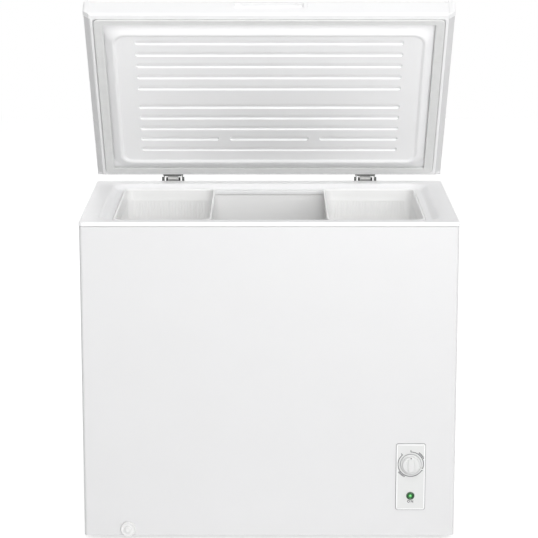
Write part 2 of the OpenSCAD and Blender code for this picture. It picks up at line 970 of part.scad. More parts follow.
module capillary_tube() {
    color("peru")
    difference() {
        capillary_path(capillary_d / 2);
        translate([dryer_x, y_dryer, z_dryer])
            cylinder(d = dryer_d, h = dryer_l);
    }
}

// ---- Controls ----

module control_panel() {
    color("#e8e9e6")
    difference() {
        union() {
            translate([panel_x, y_front, z_panel])
                rotate([90, 0, 0])
                    linear_extrude(panel_t)
                        rounded_rect(panel_w, panel_h, 5);
            translate([panel_x, y_front + housing_d / 2, z_panel])
                cube([housing_w, housing_d, housing_h], center = true);
        }
        translate([panel_x, y_front + housing_d / 2 + cut, z_panel])
            cube([housing_w - 2 * collar_wall, housing_d + 2 * cut, housing_h - 2 * collar_wall],
                center = true);
        translate([panel_x, y_front, z_knob])
            rotate([90, 0, 0])
                cylinder(d = neck_d + 2 * fit, h = 4 * panel_t, center = true);
        translate([panel_x, y_front, z_lamp])
            rotate([90, 0, 0])
                cylinder(d = lens_stem_d + 2 * fit, h = 4 * panel_t, center = true);
    }
}

module thermostat_body() {
    color("#cfcfc8")
    difference() {
        union() {
            translate([panel_x, y_thermostat + thermostat_d / 2, z_knob])
                cube([thermostat_w, thermostat_d, thermostat_h], center = true);
            translate([panel_x, y_thermostat, z_knob])
                rotate([90, 0, 0])
                    cylinder(d = neck_d, h = panel_t);
            translate([panel_x, y_front, z_knob])
                rotate([-90, 0, 0])
                    cylinder(d = neck_d + 10, h = 2);
        }
        translate([panel_x, y_thermostat, z_knob])
            rotate([90, 0, 0])
                cylinder(d = shaft_d + 2 * fit, h = 2 * thermostat_d, center = true);
    }
}

module thermostat_shaft() {
    color("silver")
    translate([panel_x, y_front - panel_t - knob_gap - knob_h + 5, z_knob])
        rotate([-90, 0, 0])
            cylinder(d = shaft_d, h = knob_h + panel_t + 14);
}

module thermostat_knob() {
    color("#e4e5e2")
    translate([panel_x, y_front - panel_t - knob_gap, z_knob])
        rotate([90, 0, 0])
            difference() {
                union() {
                    cylinder(d = knob_d, h = knob_h * 0.3);
                    cylinder(d = knob_face_d, h = knob_h * 0.55);
                    translate([0, 0, knob_h / 2])
                        cube([grip_w, knob_face_d - 4, knob_h], center = true);
                }
                translate([0, 0, -cut])
                    cylinder(d = shaft_d + 2 * fit, h = knob_h - 5 + cut);
            }
}

module indicator_lens() {
    color("green")
    translate([panel_x, y_front, z_lamp])
        rotate([90, 0, 0])
            difference() {
                union() {
                    translate([0, 0, panel_t])
                        cylinder(d = lens_d, h = lens_proud);
                    translate([0, 0, -8])
                        cylinder(d = lens_stem_d, h = panel_t + 8);
                }
                translate([0, 0, -8 - cut])
                    cylinder(d = lamp_d + 2 * fit, h = panel_t + 8 + cut);
            }
}

module indicator_lamp() {
    color("lime")
    translate([panel_x, y_front - panel_t, z_lamp])
        rotate([-90, 0, 0])
            cylinder(d = lamp_d, h = lamp_l);
}

// The harness joins the thermostat and the lamp to the relay
module wire_harness() {
    color("#555555")
    {
        pipe([
            [panel_x, y_thermostat + thermostat_d, z_knob],
            [panel_x, y_thermostat + thermostat_d + 20, z_knob],
            [panel_x, y_thermostat + thermostat_d + 20, z_relay],
            [bay_mid_x, y_relay - relay_d - 30, z_relay],
            [bay_mid_x, y_relay - relay_d, z_relay]], 3);
        pipe([
            [panel_x, y_front - panel_t + lamp_l, z_lamp],
            [panel_x, y_thermostat + thermostat_d + 20, z_lamp],
            [panel_x, y_thermostat + thermostat_d + 20, z_relay]], 2.4);
    }
}

// The sensing bulb lies against the tub between two turns of the evaporator
module bulb_path(grow) {
    y_up = y_thermostat + thermostat_d + 6;
    x_up = panel_x - thermostat_w / 2 + 8;
    pipe([
        [x_up, y_thermostat + thermostat_d, z_knob + 12],
        [x_up, y_up, z_knob + 12],
        [x_up, y_up, z_bulb],
        [x_up, y_bulb, z_bulb],
        [bulb_x + bulb_l, y_bulb, z_bulb]], capillary_d / 2 + grow);
    rod([bulb_x - grow, y_bulb, z_bulb], [bulb_x + bulb_l + grow, y_bulb, z_bulb], bulb_r + grow);
}

module thermostat_bulb() {
    color("peru")
    bulb_path(0);
}

module cord_gland() {
    color("#333333")
    translate([gland_x, y_back_sheet, z_gland])
        rotate([-90, 0, 0])
            difference() {
                union() {
                    translate([0, 0, -9])
                        cylinder(d = gland_d, h = 9);
                    cylinder(d = gland_d + 6, h = 3);
                }
                translate([0, 0, -9 - cut])
                    cylinder(d = gland_bore, h = 12 + 2 * cut);
            }
}

module rear_grille() {
    slot_w = grille_w / grille_slots / 2;
    color("#d8d8d4")
    translate([grille_x, y_back_sheet + grille_t, z_grille])
        rotate([90, 0, 0])
            linear_extrude(grille_t)
                difference() {
                    rounded_rect(grille_w + 2 * grille_frame, grille_h + 2 * grille_frame, 6);
                    for (k = [0 : grille_slots - 1])
                        translate([(k - (grille_slots - 1) / 2) * 2 * slot_w, 0])
                            square([slot_w, grille_h - grille_frame], center = true);
                }
}

// ---- Drain ----

// The drain's outline, from the tub's floor down, round a bend and forward to the front
module drain_outline(r) {
    translate([drain_x, y_drain, z_drain + drain_bend])
        cylinder(r = r, h = z_floor - z_drain - drain_bend);
    translate([drain_x, y_drain - drain_bend, z_drain + drain_bend])
        rotate([-90, 0, 90])
            bend(drain_bend, r);
    translate([drain_x, y_drain - drain_bend, z_drain])
        rotate([90, 0, 0])
            cylinder(r = r, h = y_drain - drain_bend - y_front);
}

module drain_tube() {
    color("#d9d9d6")
    difference() {
        drain_outline(drain_d / 2);
        drain_outline(drain_bore / 2);
        translate([drain_x, y_front, z_drain])
            rotate([90, 0, 0])
                cylinder(d = drain_bore, h = 10, center = true);
        translate([drain_x, y_drain, z_floor])
            cylinder(d = drain_bore, h = 10, center = true);
    }
}

module drain_cap() {
    color("white")
    translate([drain_x, y_front - seat, z_drain])
        rotate([90, 0, 0]) {
            cylinder(d = drain_cap_d, h = drain_cap_t * 0.7);
            cylinder(d = drain_cap_d * 0.4, h = drain_cap_t);
            translate([0, 0, -spigot_l])
                cylinder(d = drain_bore - 4 * fit, h = spigot_l);
        }
}

module floor_drain_plug() {
    color("white")
    translate([drain_x, y_drain, z_floor + seat]) {
        cylinder(d = plug_d, h = plug_t);
        translate([0, 0, plug_t + 4])
            cube([18, 3, 10], center = true);
        translate([0, 0, -plug_stem])
            cylinder(d = drain_bore - 4 * fit, h = plug_stem);
    }
}

// ---- Hinges, in axes centred on the hinge pin ----

module hinge_place(side) {
    translate([side * hinge_x, y_pin, z_pin])
        children();
}

// Turns what is drawn in the closed lid's place to the open lid's place
module lid_place() {
    translate([0, y_pin, z_pin])
        rotate([-lid_open, 0, 0])
            translate([0, -y_pin, -z_pin])
                children();
}

// Stands an outline drawn in the Y and Z directions upright, between two values of X
module across(x1, x2) {
    translate([x1, 0, 0])
        rotate([90, 0, 90])
            linear_extrude(x2 - x1)
                children();
}

module bracket_screw_places() {
    for (side = [-1, 1])
        hinge_place(side)
            for (sx = [-1, 1], z = bracket_screw_z)
                translate([sx * bracket_screw_x, bracket_plate_y + hinge_t, z])
                    rotate([-90, 0, 0])
                        children();
}

module leaf_screw_places() {
    for (side = [-1, 1])
        hinge_place(side)
            for (sx = [-1, 1], z = leaf_screw_z)
                translate([sx * leaf_screw_x, leaf_y + hinge_t, z])
                    rotate([-90, 0, 0])
                        children();
}

module bracket_ear_outline() {
    difference() {
        union() {
            circle(eye_r);
            polygon([
                [bracket_plate_y, -bracket_h], [eye_r, -bracket_h + 9], [eye_r, 0], [-eye_r, 0],
                [-eye_r, z_collar_under_pin + 8], [bracket_plate_y + 3.5, z_collar_under_pin],
                [bracket_plate_y, z_collar_under_pin]]);
        }
        circle(pin_d / 2 + fit);
    }
}

module hinge_bracket(side) {
    color("#6b6c6b")
    difference() {
        hinge_place(side) {
            translate([-bracket_w / 2, bracket_plate_y, -bracket_h])
                cube([bracket_w, hinge_t, bracket_h + z_collar_under_pin]);
            for (sx = [-1, 1])
                across(sx * (ear_x + hinge_t / 2) - hinge_t / 2, sx * (ear_x + hinge_t / 2) + hinge_t / 2)
                    bracket_ear_outline();
            difference() {
                translate([-ear_x, bracket_plate_y, z_tab - hinge_t])
                    cube([2 * ear_x, eye_r - bracket_plate_y, hinge_t]);
                translate([0, 0, z_tab - hinge_t - cut])
                    cylinder(d = rod_d + 4 * fit, h = hinge_t + 2 * cut);
            }
        }
        bracket_screw_places()
            cylinder(d = screw_d + 2 * fit, h = 6 * hinge_t, center = true);
    }
}

module hinge_pin(side) {
    color("silver")
    hinge_place(side)
        rotate([0, 90, 0]) {
            cylinder(d = pin_d, h = 2 * (ear_x + hinge_t) + 1, center = true);
            for (sx = [-1, 1])
                translate([0, 0, sx * (ear_x + hinge_t + seat + 0.75)])
                    cylinder(d = pin_d + 3, h = 1.5, center = true);
        }
}

// The cam's radius at an angle from straight down, with the lid at rest
function cam_radius(angle) = cam_r - cam_lead * angle * PI / 180;

module cam_outline() {
    polygon([
        [0, 0],
        for (a = [cam_from : cam_step : cam_to])
            cam_radius(a) * [sin(a + lid_open), -cos(a + lid_open)]]);
}

module hinge_leaf(side) {
    color("#b9bab8")
    lid_place()
        difference() {
            hinge_place(side) {
                translate([-leaf_w / 2, leaf_y, z_leaf])
                    cube([leaf_w, hinge_t, leaf_h]);
                for (sx = [-1, 1])
                    across(sx * (leaf_w / 2 - 2) - hinge_t / 2, sx * (leaf_w / 2 - 2) + hinge_t / 2)
                        leaf_eye_outline();
                across(-cam_w / 2, cam_w / 2)
                    difference() {
                        union() {
                            leaf_eye_outline();
                            cam_outline();
                        }
                        circle(pin_d / 2 + fit);
                    }
            }
            leaf_screw_places()
                cylinder(d = screw_d + 2 * fit, h = 4 * hinge_t, center = true);
        }
}

module leaf_eye_outline() {
    difference() {
        union() {
            circle(eye_r - 0.5);
            translate([leaf_y, z_leaf])
                square([-leaf_y, eye_r - 0.5 - z_leaf]);
        }
        circle(pin_d / 2 + fit);
    }
}

module hinge_follower(side) {
    color("#b9bab8")
    hinge_place(side) {
        translate([-cam_w / 2, -head_w / 2, z_ridge - head_h])
            cube([cam_w, head_w, head_h]);
        translate([0, 0, z_ridge])
            rotate([0, 90, 0])
                cylinder(r = ridge_r, h = cam_w, center = true);
        translate([0, 0, rod_end])
            cylinder(d = rod_d, h = z_ridge - head_h - rod_end);
    }
}

// A coil spring standing on z = 0: rings of points along a helix, joined into one skin
module coil(mean_r, wire_r, height, turns) {
    sides = 8;
    steps = 12 * turns;
    rings = [for (i = [0 : steps])
        let (a = i * 360 / 12, z = wire_r + (height - 2 * wire_r) * i / steps)
        [for (j = [0 : sides - 1])
            let (b = j * 360 / sides)
            [(mean_r + wire_r * cos(b)) * cos(a), (mean_r + wire_r * cos(b)) * sin(a),
                z + wire_r * sin(b)]]];
    points = [for (ring = rings, p = ring) p];
    skin = [for (i = [0 : steps - 1], j = [0 : sides - 1])
        let (k = (j + 1) % sides)
        [i * sides + j, (i + 1) * sides + j, (i + 1) * sides + k, i * sides + k]];
    first = [for (j = [0 : sides - 1]) j];
    last = [for (j = [sides - 1 : -1 : 0]) steps * sides + j];
    polyhedron(points, concat(skin, [first, last]), convexity = 10);
}

module hinge_spring(side) {
    color("silver")
    hinge_place(side)
        translate([0, 0, z_tab + seat])
            coil(spring_r, wire_d / 2, z_ridge - head_h - z_tab - 2 * seat, spring_turns);
}

module hinge_bracket_screws() {
    color("silver")
    bracket_screw_places()
        screw(screw_d, screw_l, screw_head_d, screw_head_h);
}

module hinge_leaf_screws() {
    color("silver")
    lid_place()
        leaf_screw_places()
            screw(screw_d, screw_l, screw_head_d, screw_head_h);
}

// ---- Lid, drawn closed and turned to its open place ----

// Half of a circle's worth of rounding on the top corners of a box outline from z1 to z2
module top_rounded(x1, x2, z1, z2, r) {
    translate([x1, z1])
        square([x2 - x1, z2 - z1 - r]);
    translate([x1 + r, z1])
        square([x2 - x1 - 2 * r, z2 - z1]);
    for (x = [x1 + r, x2 - r])
        translate([x, z2 - r])
            circle(r);
}

// The lid's steel shell, shrunk by a wall, with its front end left open
module lid_solid(inset) {
    low = inset > 0 ? z_lid - cut : z_lid;
    intersection() {
        translate([0, y_lid_rear + cut, 0])
            rotate([90, 0, 0])
                linear_extrude(v_trim + cut + (inset > 0 ? cut : 0))
                    difference() {
                        top_rounded(-lid_half + inset, lid_half - inset, low, z_lid + lid_t - inset,
                            lid_r - inset);
                        for (sx = [-1, 1])
                            polygon([
                                [sx * (lid_half - bevel_w - inset * 1.3), z_lid],
                                [sx * (lid_half - inset), z_lid + bevel_h + inset * 0.3],
                                [sx * (lid_half + cut), z_lid + bevel_h + inset * 0.3],
                                [sx * (lid_half + cut), z_lid - 2 * cut],
                                [sx * (lid_half - bevel_w - inset * 1.3), z_lid - 2 * cut]]);
                    }
        across(-cab_w, cab_w)
            top_rounded(y_lid_rear - lid_l * 2, y_lid_rear - inset, low, z_lid + lid_t - inset,
                lid_r - inset);
    }
}

module lid_plan(x, v1, v2, r) {
    plan(x, y_lid_rear - v2, y_lid_rear - v1, r);
}

module lid_skin() {
    color("white")
    lid_place()
        difference() {
            lid_solid(0);
            lid_solid(sheet);
            leaf_screw_places()
                cylinder(d = screw_d + 2 * fit, h = 8 * hinge_t, center = true);
        }
}

// The inner panel's raised rim and middle field, given by the wall left inside it
module panel_rim(t) {
    funnel(z_crest + t, z_panel_edge + t) {
        lid_plan(dyke_x - dyke_slope - t * 0.6, v_dyke_rear + dyke_slope + 4 + t * 0.6,
            v_dyke_front - dyke_slope - t * 0.6, dyke_r - t * 0.6);
        lid_plan(dyke_x - t * 0.6, v_dyke_rear + t * 0.6, v_dyke_front - t * 0.6, dyke_r);
    }
}

module panel_field(t) {
    inner = dyke_slope + dyke_crest;
    funnel(z_crest - cut, z_field) {
        lid_plan(dyke_x - inner + t, v_dyke_rear + inner + 4 - t, v_dyke_front - inner + t, dyke_r);
        lid_plan(dyke_x - inner - dyke_inner + t, v_dyke_rear + inner + dyke_inner + 4 - t,
            v_dyke_front - inner - dyke_inner + t, dyke_r);
    }
}

module groove_outline(x, l, grow) {
    translate([x, 0]) {
        square([l - groove_w, groove_w + 2 * grow], center = true);
        for (sx = [-1, 1])
            translate([sx * (l - groove_w) / 2, 0])
                circle(groove_w / 2 + grow);
    }
}

// Every groove of the inner panel: one groove is in three lengths
module grooves(z1, z2, grow) {
    for (half = [-1, 1], k = [0 : groove_rows - 1])
        let (v = v_groove_mid - half * (groove_first + k * groove_pitch))
        translate([0, y_lid_rear - v, 0])
            slab(z1, z2)
                if (half == 1 && k == groove_rows - 2) {
                    groove_outline(0, split_mid, grow);
                    for (sx = [-1, 1])
                        groove_outline(sx * (groove_l + split_mid + 2 * split_gap) / 4,
                            (groove_l - split_mid - 2 * split_gap) / 2, grow);
                } else {
                    groove_outline(0, groove_l, grow);
                }
}

module panel_hollow() {
    difference() {
        panel_rim(liner_t);
        translate([0, 0, liner_t])
            panel_field(liner_t);
        slab(z_crest, z_field + liner_t)
            lid_plan(dyke_x - dyke_slope - dyke_crest - dyke_inner + liner_t,
                v_dyke_rear + dyke_slope + dyke_crest + dyke_inner + 4 - liner_t,
                v_dyke_front - dyke_slope - dyke_crest - dyke_inner + liner_t, dyke_r);
        grooves(z_crest, z_field + groove_t + liner_t, liner_t);
    }
}

module lid_inner_panel() {
    edge_x = lid_half - bevel_w + 3;
    color("#e1e2e0")
    lid_place()
        difference() {
            union() {
                slab(z_panel_edge, z_panel_edge + liner_t)
                    lid_plan(edge_x, sheet + 0.2, v_trim - 0.2, 3);
                panel_rim(0);
            }
            panel_hollow();
            panel_field(0);
            grooves(z_crest - cut, z_field + groove_t, 0);
            slab(z_panel_edge + liner_t, z_panel_edge + 4 * liner_t)
                lid_plan(lid_half, 0, lid_l, 3);
        }
}

module lid_foam() {
    color("khaki")
    lid_place()
        difference() {
            union() {
                intersection() {
                    lid_solid(sheet + 0.1);
                    slab(z_panel_edge + liner_t, z_lid + lid_t)
                        lid_plan(lid_half + cut, -cut, v_trim - 0.1, 2);
                }
                intersection() {
                    panel_hollow();
                    slab(z_crest, z_panel_edge + liner_t)
                        lid_plan(lid_half, 0, v_trim, 2);
                }
            }
            leaf_screw_places()
                cylinder(d = screw_d + 2 * seat, h = 4 * screw_l, center = true);
        }
}

module lid_gasket() {
    color("#b4b5b3")
    lid_place()
        slab(z_top + seat, z_panel_edge)
            difference() {
                lid_plan(gasket_x, gasket_rear, v_gasket_front, 12);
                lid_plan(gasket_x - gasket_w, gasket_rear + gasket_w, v_gasket_front - gasket_w, 4);
            }
}

module lid_front_trim() {
    color("white")
    lid_place()
        difference() {
            across(-cap_x, cap_x) {
                translate([y_lid_rear - lid_l, z_lid])
                    square([trim_d, lid_t - 6]);
                translate([y_lid_rear - lid_l + 6, z_lid])
                    square([trim_d - 6, lid_t]);
                translate([y_lid_rear - lid_l + 6, z_lid + lid_t - 6])
                    circle(6);
            }
            across(-scoop_w / 2, scoop_w / 2)
                translate([y_lid_rear - lid_l, z_lid + scoop_up])
                    polygon([
                        [-cut, 0], [0, 0], [scoop_d * 0.45, scoop_h * 0.12],
                        [scoop_d * 0.8, scoop_h * 0.4], [scoop_d, scoop_h * 0.75],
                        [scoop_d, scoop_h], [-cut, scoop_h]]);
        }
}

module lid_end_cap(side) {
    inner = cap_x;
    outer = lid_half + cap_proud;
    color("#eeeeec")
    lid_place()
        translate([0, y_lid_rear - lid_l - cap_proud, 0])
            intersection() {
                slab(z_lid, z_lid + lid_t + cap_proud) {
                    translate([side * (inner + outer) / 2, (trim_d + cap_proud) / 2 + 3])
                        square([outer - inner, trim_d + cap_proud - 6], center = true);
                    translate([side * ((inner + outer) / 2 - 3), (trim_d + cap_proud) / 2])
                        square([outer - inner - 6, trim_d + cap_proud], center = true);
                    translate([side * (outer - 6), 6])
                        circle(6);
                }
                translate([0, 2 * trim_d, 0])
                    rotate([90, 0, 0])
                        linear_extrude(4 * trim_d)
                            difference() {
                                top_rounded(-outer, outer, z_lid, z_lid + lid_t + cap_proud, lid_r);
                                polygon([
                                    [side * (outer - bevel_w), z_lid - cut],
                                    [side * (outer - bevel_w), z_lid],
                                    [side * outer, z_lid + bevel_h],
                                    [side * (outer + cut), z_lid + bevel_h],
                                    [side * (outer + cut), z_lid - cut]]);
                            }
            }
}

// ---- Baskets ----

module rim_plan(inset, r) {
    translate([0, (rim_y_front + rim_y_rear) / 2])
        rounded_rect(basket_w - 2 * inset, rim_y_rear - rim_y_front - 2 * inset, r);
}

module tub_plan(inset) {
    translate([0, (tub_y_front + tub_y_rear) / 2])
        rounded_rect(basket_w - rim_d - 2 * inset, tub_y_rear - tub_y_front - 2 * inset,
            basket_r - rim_d - inset);
}

module basket(side) {
    half_x = basket_w / 2 - rim_d / 2;
    y1 = rim_y_front + rim_d / 2;
    y2 = rim_y_rear - rim_d / 2;
    bend_r = basket_r - rim_d / 2;
    color("#f4f4f2")
    translate([side * basket_x, 0, 0]) {
        for (sx = [-1, 1])
            rod([sx * half_x, y1 + bend_r, z_rim], [sx * half_x, y2 - bend_r, z_rim], rim_d / 2);
        for (y = [y1, y2])
            rod([-half_x + bend_r, y, z_rim], [half_x - bend_r, y, z_rim], rim_d / 2);
        for (c = [[-1, y1 + bend_r, 180], [1, y1 + bend_r, 270], [1, y2 - bend_r, 0],
                  [-1, y2 - bend_r, 90]])
            translate([c.x * (half_x - bend_r), c.y, z_rim])
                rotate(c.z)
                    bend(bend_r, rim_d / 2);
        slab(z_rim - basket_wall / 2, z_rim + basket_wall / 2)
            difference() {
                rim_plan(rim_d / 2, basket_r - rim_d / 2);
                tub_plan(basket_wall);
            }
        difference() {
            slab(z_rim + rim_d / 2 - basket_h, z_rim)
                tub_plan(0);
            slab(z_rim + rim_d / 2 - basket_h + basket_wall, z_rim + cut)
                tub_plan(basket_wall);
        }
    }
}

// ---- The whole freezer ----

cabinet_wrap();
rear_panel();
rear_panel_screws();
base_pan();
feet();
collar();
inner_liner();
insulation_foam();
evaporator_tube();
condenser_tube();
compressor_bay_shield();
compressor_plate();
compressor();
compressor_grommets();
compressor_bolts();
start_relay_cover();
discharge_tube();
suction_tube();
filter_dryer();
capillary_tube();
thermostat_body();
thermostat_shaft();
thermostat_bulb();
control_panel();
thermostat_knob();
indicator_lens();
indicator_lamp();
wire_harness();
cord_gland();
drain_tube();
drain_cap();
floor_drain_plug();
rear_grille();
hinge_bracket(-1);  // hinge_bracket_left
hinge_bracket(1);  // hinge_bracket_right
hinge_pin(-1);  // hinge_pin_left
hinge_pin(1);  // hinge_pin_right
hinge_leaf(-1);  // hinge_leaf_left
hinge_leaf(1);  // hinge_leaf_right
hinge_follower(-1);  // hinge_follower_left
hinge_follower(1);  // hinge_follower_right
hinge_spring(-1);  // hinge_spring_left
hinge_spring(1);  // hinge_spring_right
hinge_bracket_screws();
hinge_leaf_screws();
lid_skin();
lid_foam();
lid_inner_panel();
lid_gasket();
lid_front_trim();
lid_end_cap(-1);  // lid_end_cap_left
lid_end_cap(1);  // lid_end_cap_right
basket(-1);  // basket_left
basket(1);  // basket_right
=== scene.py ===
import json
import math

import bpy
import numpy as np
from mathutils import Matrix, Vector


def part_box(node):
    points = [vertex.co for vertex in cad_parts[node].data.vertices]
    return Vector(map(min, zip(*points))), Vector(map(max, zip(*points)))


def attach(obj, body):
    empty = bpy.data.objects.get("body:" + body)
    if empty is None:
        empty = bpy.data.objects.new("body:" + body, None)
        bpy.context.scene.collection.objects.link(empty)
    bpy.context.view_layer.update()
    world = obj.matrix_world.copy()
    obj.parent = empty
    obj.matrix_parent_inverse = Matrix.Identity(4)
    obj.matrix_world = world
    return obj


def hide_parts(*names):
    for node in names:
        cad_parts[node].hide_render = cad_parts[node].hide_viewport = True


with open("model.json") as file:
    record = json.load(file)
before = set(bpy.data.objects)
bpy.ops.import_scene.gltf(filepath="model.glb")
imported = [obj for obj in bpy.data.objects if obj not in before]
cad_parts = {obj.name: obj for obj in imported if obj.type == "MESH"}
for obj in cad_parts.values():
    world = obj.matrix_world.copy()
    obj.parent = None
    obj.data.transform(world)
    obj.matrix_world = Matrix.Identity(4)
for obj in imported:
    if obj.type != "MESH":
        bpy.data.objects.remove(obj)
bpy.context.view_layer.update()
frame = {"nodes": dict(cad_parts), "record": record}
nodes = frame["nodes"]

MM = 0.001
corner_of = {name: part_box(name) for name in nodes}
cabinet_lo, cabinet_hi = corner_of["cabinet_wrap"]
front_y, rear_y = cabinet_lo.y, cabinet_hi.y
side_x = cabinet_hi.x
top_z = corner_of["collar"][1].z
pin_lo, pin_hi = corner_of["hinge_pin_left"]
pin = Vector((0, (pin_lo.y + pin_hi.y) / 2, (pin_lo.z + pin_hi.z) / 2))
LID_OPEN = math.radians(52.5)
to_open_lid = (Matrix.Translation(pin) @ Matrix.Rotation(-LID_OPEN, 4, "X")
               @ Matrix.Translation(-pin))


# ---- Camera, floor and light ----

CAMERA_DISTANCE, CAMERA_HEIGHT, CAMERA_X = 4.952, 1.8265, -0.0006
CAMERA_PITCH = 11.79  # degrees below the level
ROOM_LEVEL, ROOM_TILT = 0.40, 0.13  # the room is a little brighter on the right
FLOOR_SIZE = 14

camera_data = bpy.data.cameras.new("camera")
camera_data.lens = 136.35
camera_data.sensor_width = 36
camera_data.shift_y = -0.06
camera_data.clip_end = 100
camera = bpy.data.objects.new("camera", camera_data)
bpy.context.collection.objects.link(camera)
camera.location = (CAMERA_X, front_y - CAMERA_DISTANCE, CAMERA_HEIGHT)
camera.rotation_euler = (math.radians(90 - CAMERA_PITCH), 0, 0)
bpy.context.scene.camera = camera

scene = bpy.context.scene
scene.view_settings.view_transform = "Standard"


def area_lamp(name, place, target, size, power):
    """A square lamp that faces a target."""
    data = bpy.data.lights.new(name, "AREA")
    data.shape = "SQUARE"
    data.size = size
    data.energy = power
    lamp = bpy.data.objects.new(name, data)
    bpy.context.collection.objects.link(lamp)
    lamp.location = place
    lamp.rotation_euler = (Vector(target) - Vector(place)).to_track_quat("-Z", "Y").to_euler()


area_lamp("key_lamp", (3.0, -4.0, 3.4), (0, 0, 0.7), 2.6, 16)
area_lamp("high_lamp", (0.3, -3.4, 4.2), (0, 0.1, 0.8), 2.4, 85)
area_lamp("low_lamp", (1.8, -7.5, 1.3), (0, 0.1, 1.0), 3.8, 243)
area_lamp("back_lamp", (-1.5, 4.2, 3.0), (0, 0, 0.7), 2.6, 24)

world = bpy.data.worlds.new("studio")
scene.world = world
world.use_nodes = True
sky = world.node_tree
sky.nodes.clear()
sky_out = sky.nodes.new("ShaderNodeOutputWorld")
room = sky.nodes.new("ShaderNodeBackground")
white = sky.nodes.new("ShaderNodeBackground")
white.inputs["Strength"].default_value = 1.0
for background in (room, white):
    background.inputs["Color"].default_value = (1, 1, 1, 1)
towards = sky.nodes.new("ShaderNodeTexCoord")
parts = sky.nodes.new("ShaderNodeSeparateXYZ")
level = sky.nodes.new("ShaderNodeMath")
level.operation = "MULTIPLY_ADD"
level.inputs[1].default_value = ROOM_TILT
level.inputs[2].default_value = ROOM_LEVEL
sky.links.new(towards.outputs["Generated"], parts.inputs[0])
sky.links.new(parts.outputs[0], level.inputs[0])
sky.links.new(level.outputs[0], room.inputs["Strength"])
ray = sky.nodes.new("ShaderNodeLightPath")
plain = None
for kind in ("Is Camera Ray", "Is Glossy Ray", "Is Transmission Ray"):
    either = sky.nodes.new("ShaderNodeMath")
    either.operation = "MAXIMUM"
    either.inputs[1].default_value = 0
    sky.links.new(ray.outputs[kind], either.inputs[0])
    if plain:
        sky.links.new(plain, either.inputs[1])
    plain = either.outputs[0]
seen = sky.nodes.new("ShaderNodeMixShader")
sky.links.new(plain, seen.inputs[0])
sky.links.new(room.outputs[0], seen.inputs[1])
sky.links.new(white.outputs[0], seen.inputs[2])
sky.links.new(seen.outputs[0], sky_out.inputs["Surface"])

bpy.ops.object.select_all(action="DESELECT")
bpy.ops.mesh.primitive_plane_add(size=FLOOR_SIZE)
floor = bpy.context.object
floor.name = "floor"


# ---- Finishes ----

class Field:
    """A socket in a finish, so that maths on it can be written as an expression."""

    def __init__(self, finish, socket):
        self.finish = finish
        self.socket = socket

    def _with(self, operation, first, second):
        return self.finish.node("ShaderNodeMath", {"operation": operation}, {0: first, 1: second})

    def __add__(self, other):
        return self._with("ADD", self, other)

    def __mul__(self, other):
        return self._with("MULTIPLY", self, other)

    __radd__ = __add__
    __rmul__ = __mul__


class Finish:
    """A surface finish: a Principled shader and the nodes that vary it."""

    def __init__(self, name, color, roughness, metallic=0.0, coat=0.0, specular=0.5):
        self.material = bpy.data.materials.new(name)
        self.material.use_nodes = True
        self.tree = self.material.node_tree
        self.shader = self.tree.nodes["Principled BSDF"]
        self.color = (*color, 1.0)
        self.material.diffuse_color = self.color
        self.set("Base Color", self.color)
        self.set("Roughness", roughness)
        self.set("Metallic", metallic)
        self.set("Coat Weight", coat)
        self.set("Specular IOR Level", specular)
        self.place = self.node("ShaderNodeTexCoord", {}, {}, "Object")

    def node(self, kind, settings, inputs, output=0):
        """Adds a node: its settings first, then the values or links of its sockets."""
        made = self.tree.nodes.new(kind)
        stops = settings.pop("stops", None)
        for name, value in settings.items():
            setattr(made, name, value)
        if stops:
            ramp = made.color_ramp
            while len(ramp.elements) < len(stops):
                ramp.elements.new(1.0)
            for element, (at, shade) in zip(ramp.elements, stops):
                element.position = at
                element.color = (shade, shade, shade, 1.0)
        for name, value in inputs.items():
            socket = made.inputs[name]
            if isinstance(value, Field):
                self.tree.links.new(value.socket, socket)
            else:
                socket.default_value = value
        return Field(self, made.outputs[output])

    def set(self, name, value):
        socket = self.shader.inputs[name]
        if isinstance(value, Field):
            self.tree.links.new(value.socket, socket)
        else:
            socket.default_value = value

    def noise(self, scale, detail=2.0, stretch=None):
        """Soft clouds, which stretch draws out along an axis."""
        place = self.place
        if stretch:
            place = self.node("ShaderNodeMapping", {}, {"Vector": place, "Scale": stretch})
        return self.node("ShaderNodeTexNoise", {},
                         {"Vector": place, "Scale": scale, "Detail": detail}, "Fac")

    def ramp(self, value, *stops):
        """Maps a value to grey: stops are (value, shade)."""
        return self.node("ShaderNodeValToRGB", {"stops": stops}, {0: value})

    def tint(self, mask, other, amount=1.0):
        """Mixes the finish's own colour towards another one where the mask is high."""
        factor = mask * amount
        mixed = self.node("ShaderNodeMix", {"data_type": "RGBA"},
                          {0: factor, 6: self.color, 7: (*other, 1.0)}, 2)
        self.set("Base Color", mixed)
        return mixed

    def bump(self, height, depth, strength=1.0):
        """Raises the surface by up to a depth in metres where the height is 1."""
        raised = {"Height": height, "Distance": depth, "Strength": strength}
        self.set("Normal", self.node("ShaderNodeBump", {}, raised, "Normal"))


def sprayed_enamel(name, color, roughness=0.3, coat=0.25):
    """Baked enamel on steel, with its faint orange peel."""
    finish = Finish(name, color, roughness, coat=coat)
    cloud = finish.noise(7.0, 3.0)
    finish.tint(cloud, tuple(c * 0.975 for c in color))
    finish.set("Roughness", cloud * 0.08 + (roughness - 0.04))
    finish.bump(finish.noise(420.0, 1.5), 0.00006)
    return finish.material


def moulded_plastic(name, color, roughness=0.42, grain=900.0):
    """Injection-moulded plastic, with a fine spark grain."""
    finish = Finish(name, color, roughness)
    cloud = finish.noise(11.0, 2.0)
    finish.tint(cloud, tuple(c * 0.97 for c in color))
    finish.set("Roughness", cloud * 0.1 + (roughness - 0.05))
    finish.bump(finish.noise(grain, 2.0), 0.00004)
    return finish.material


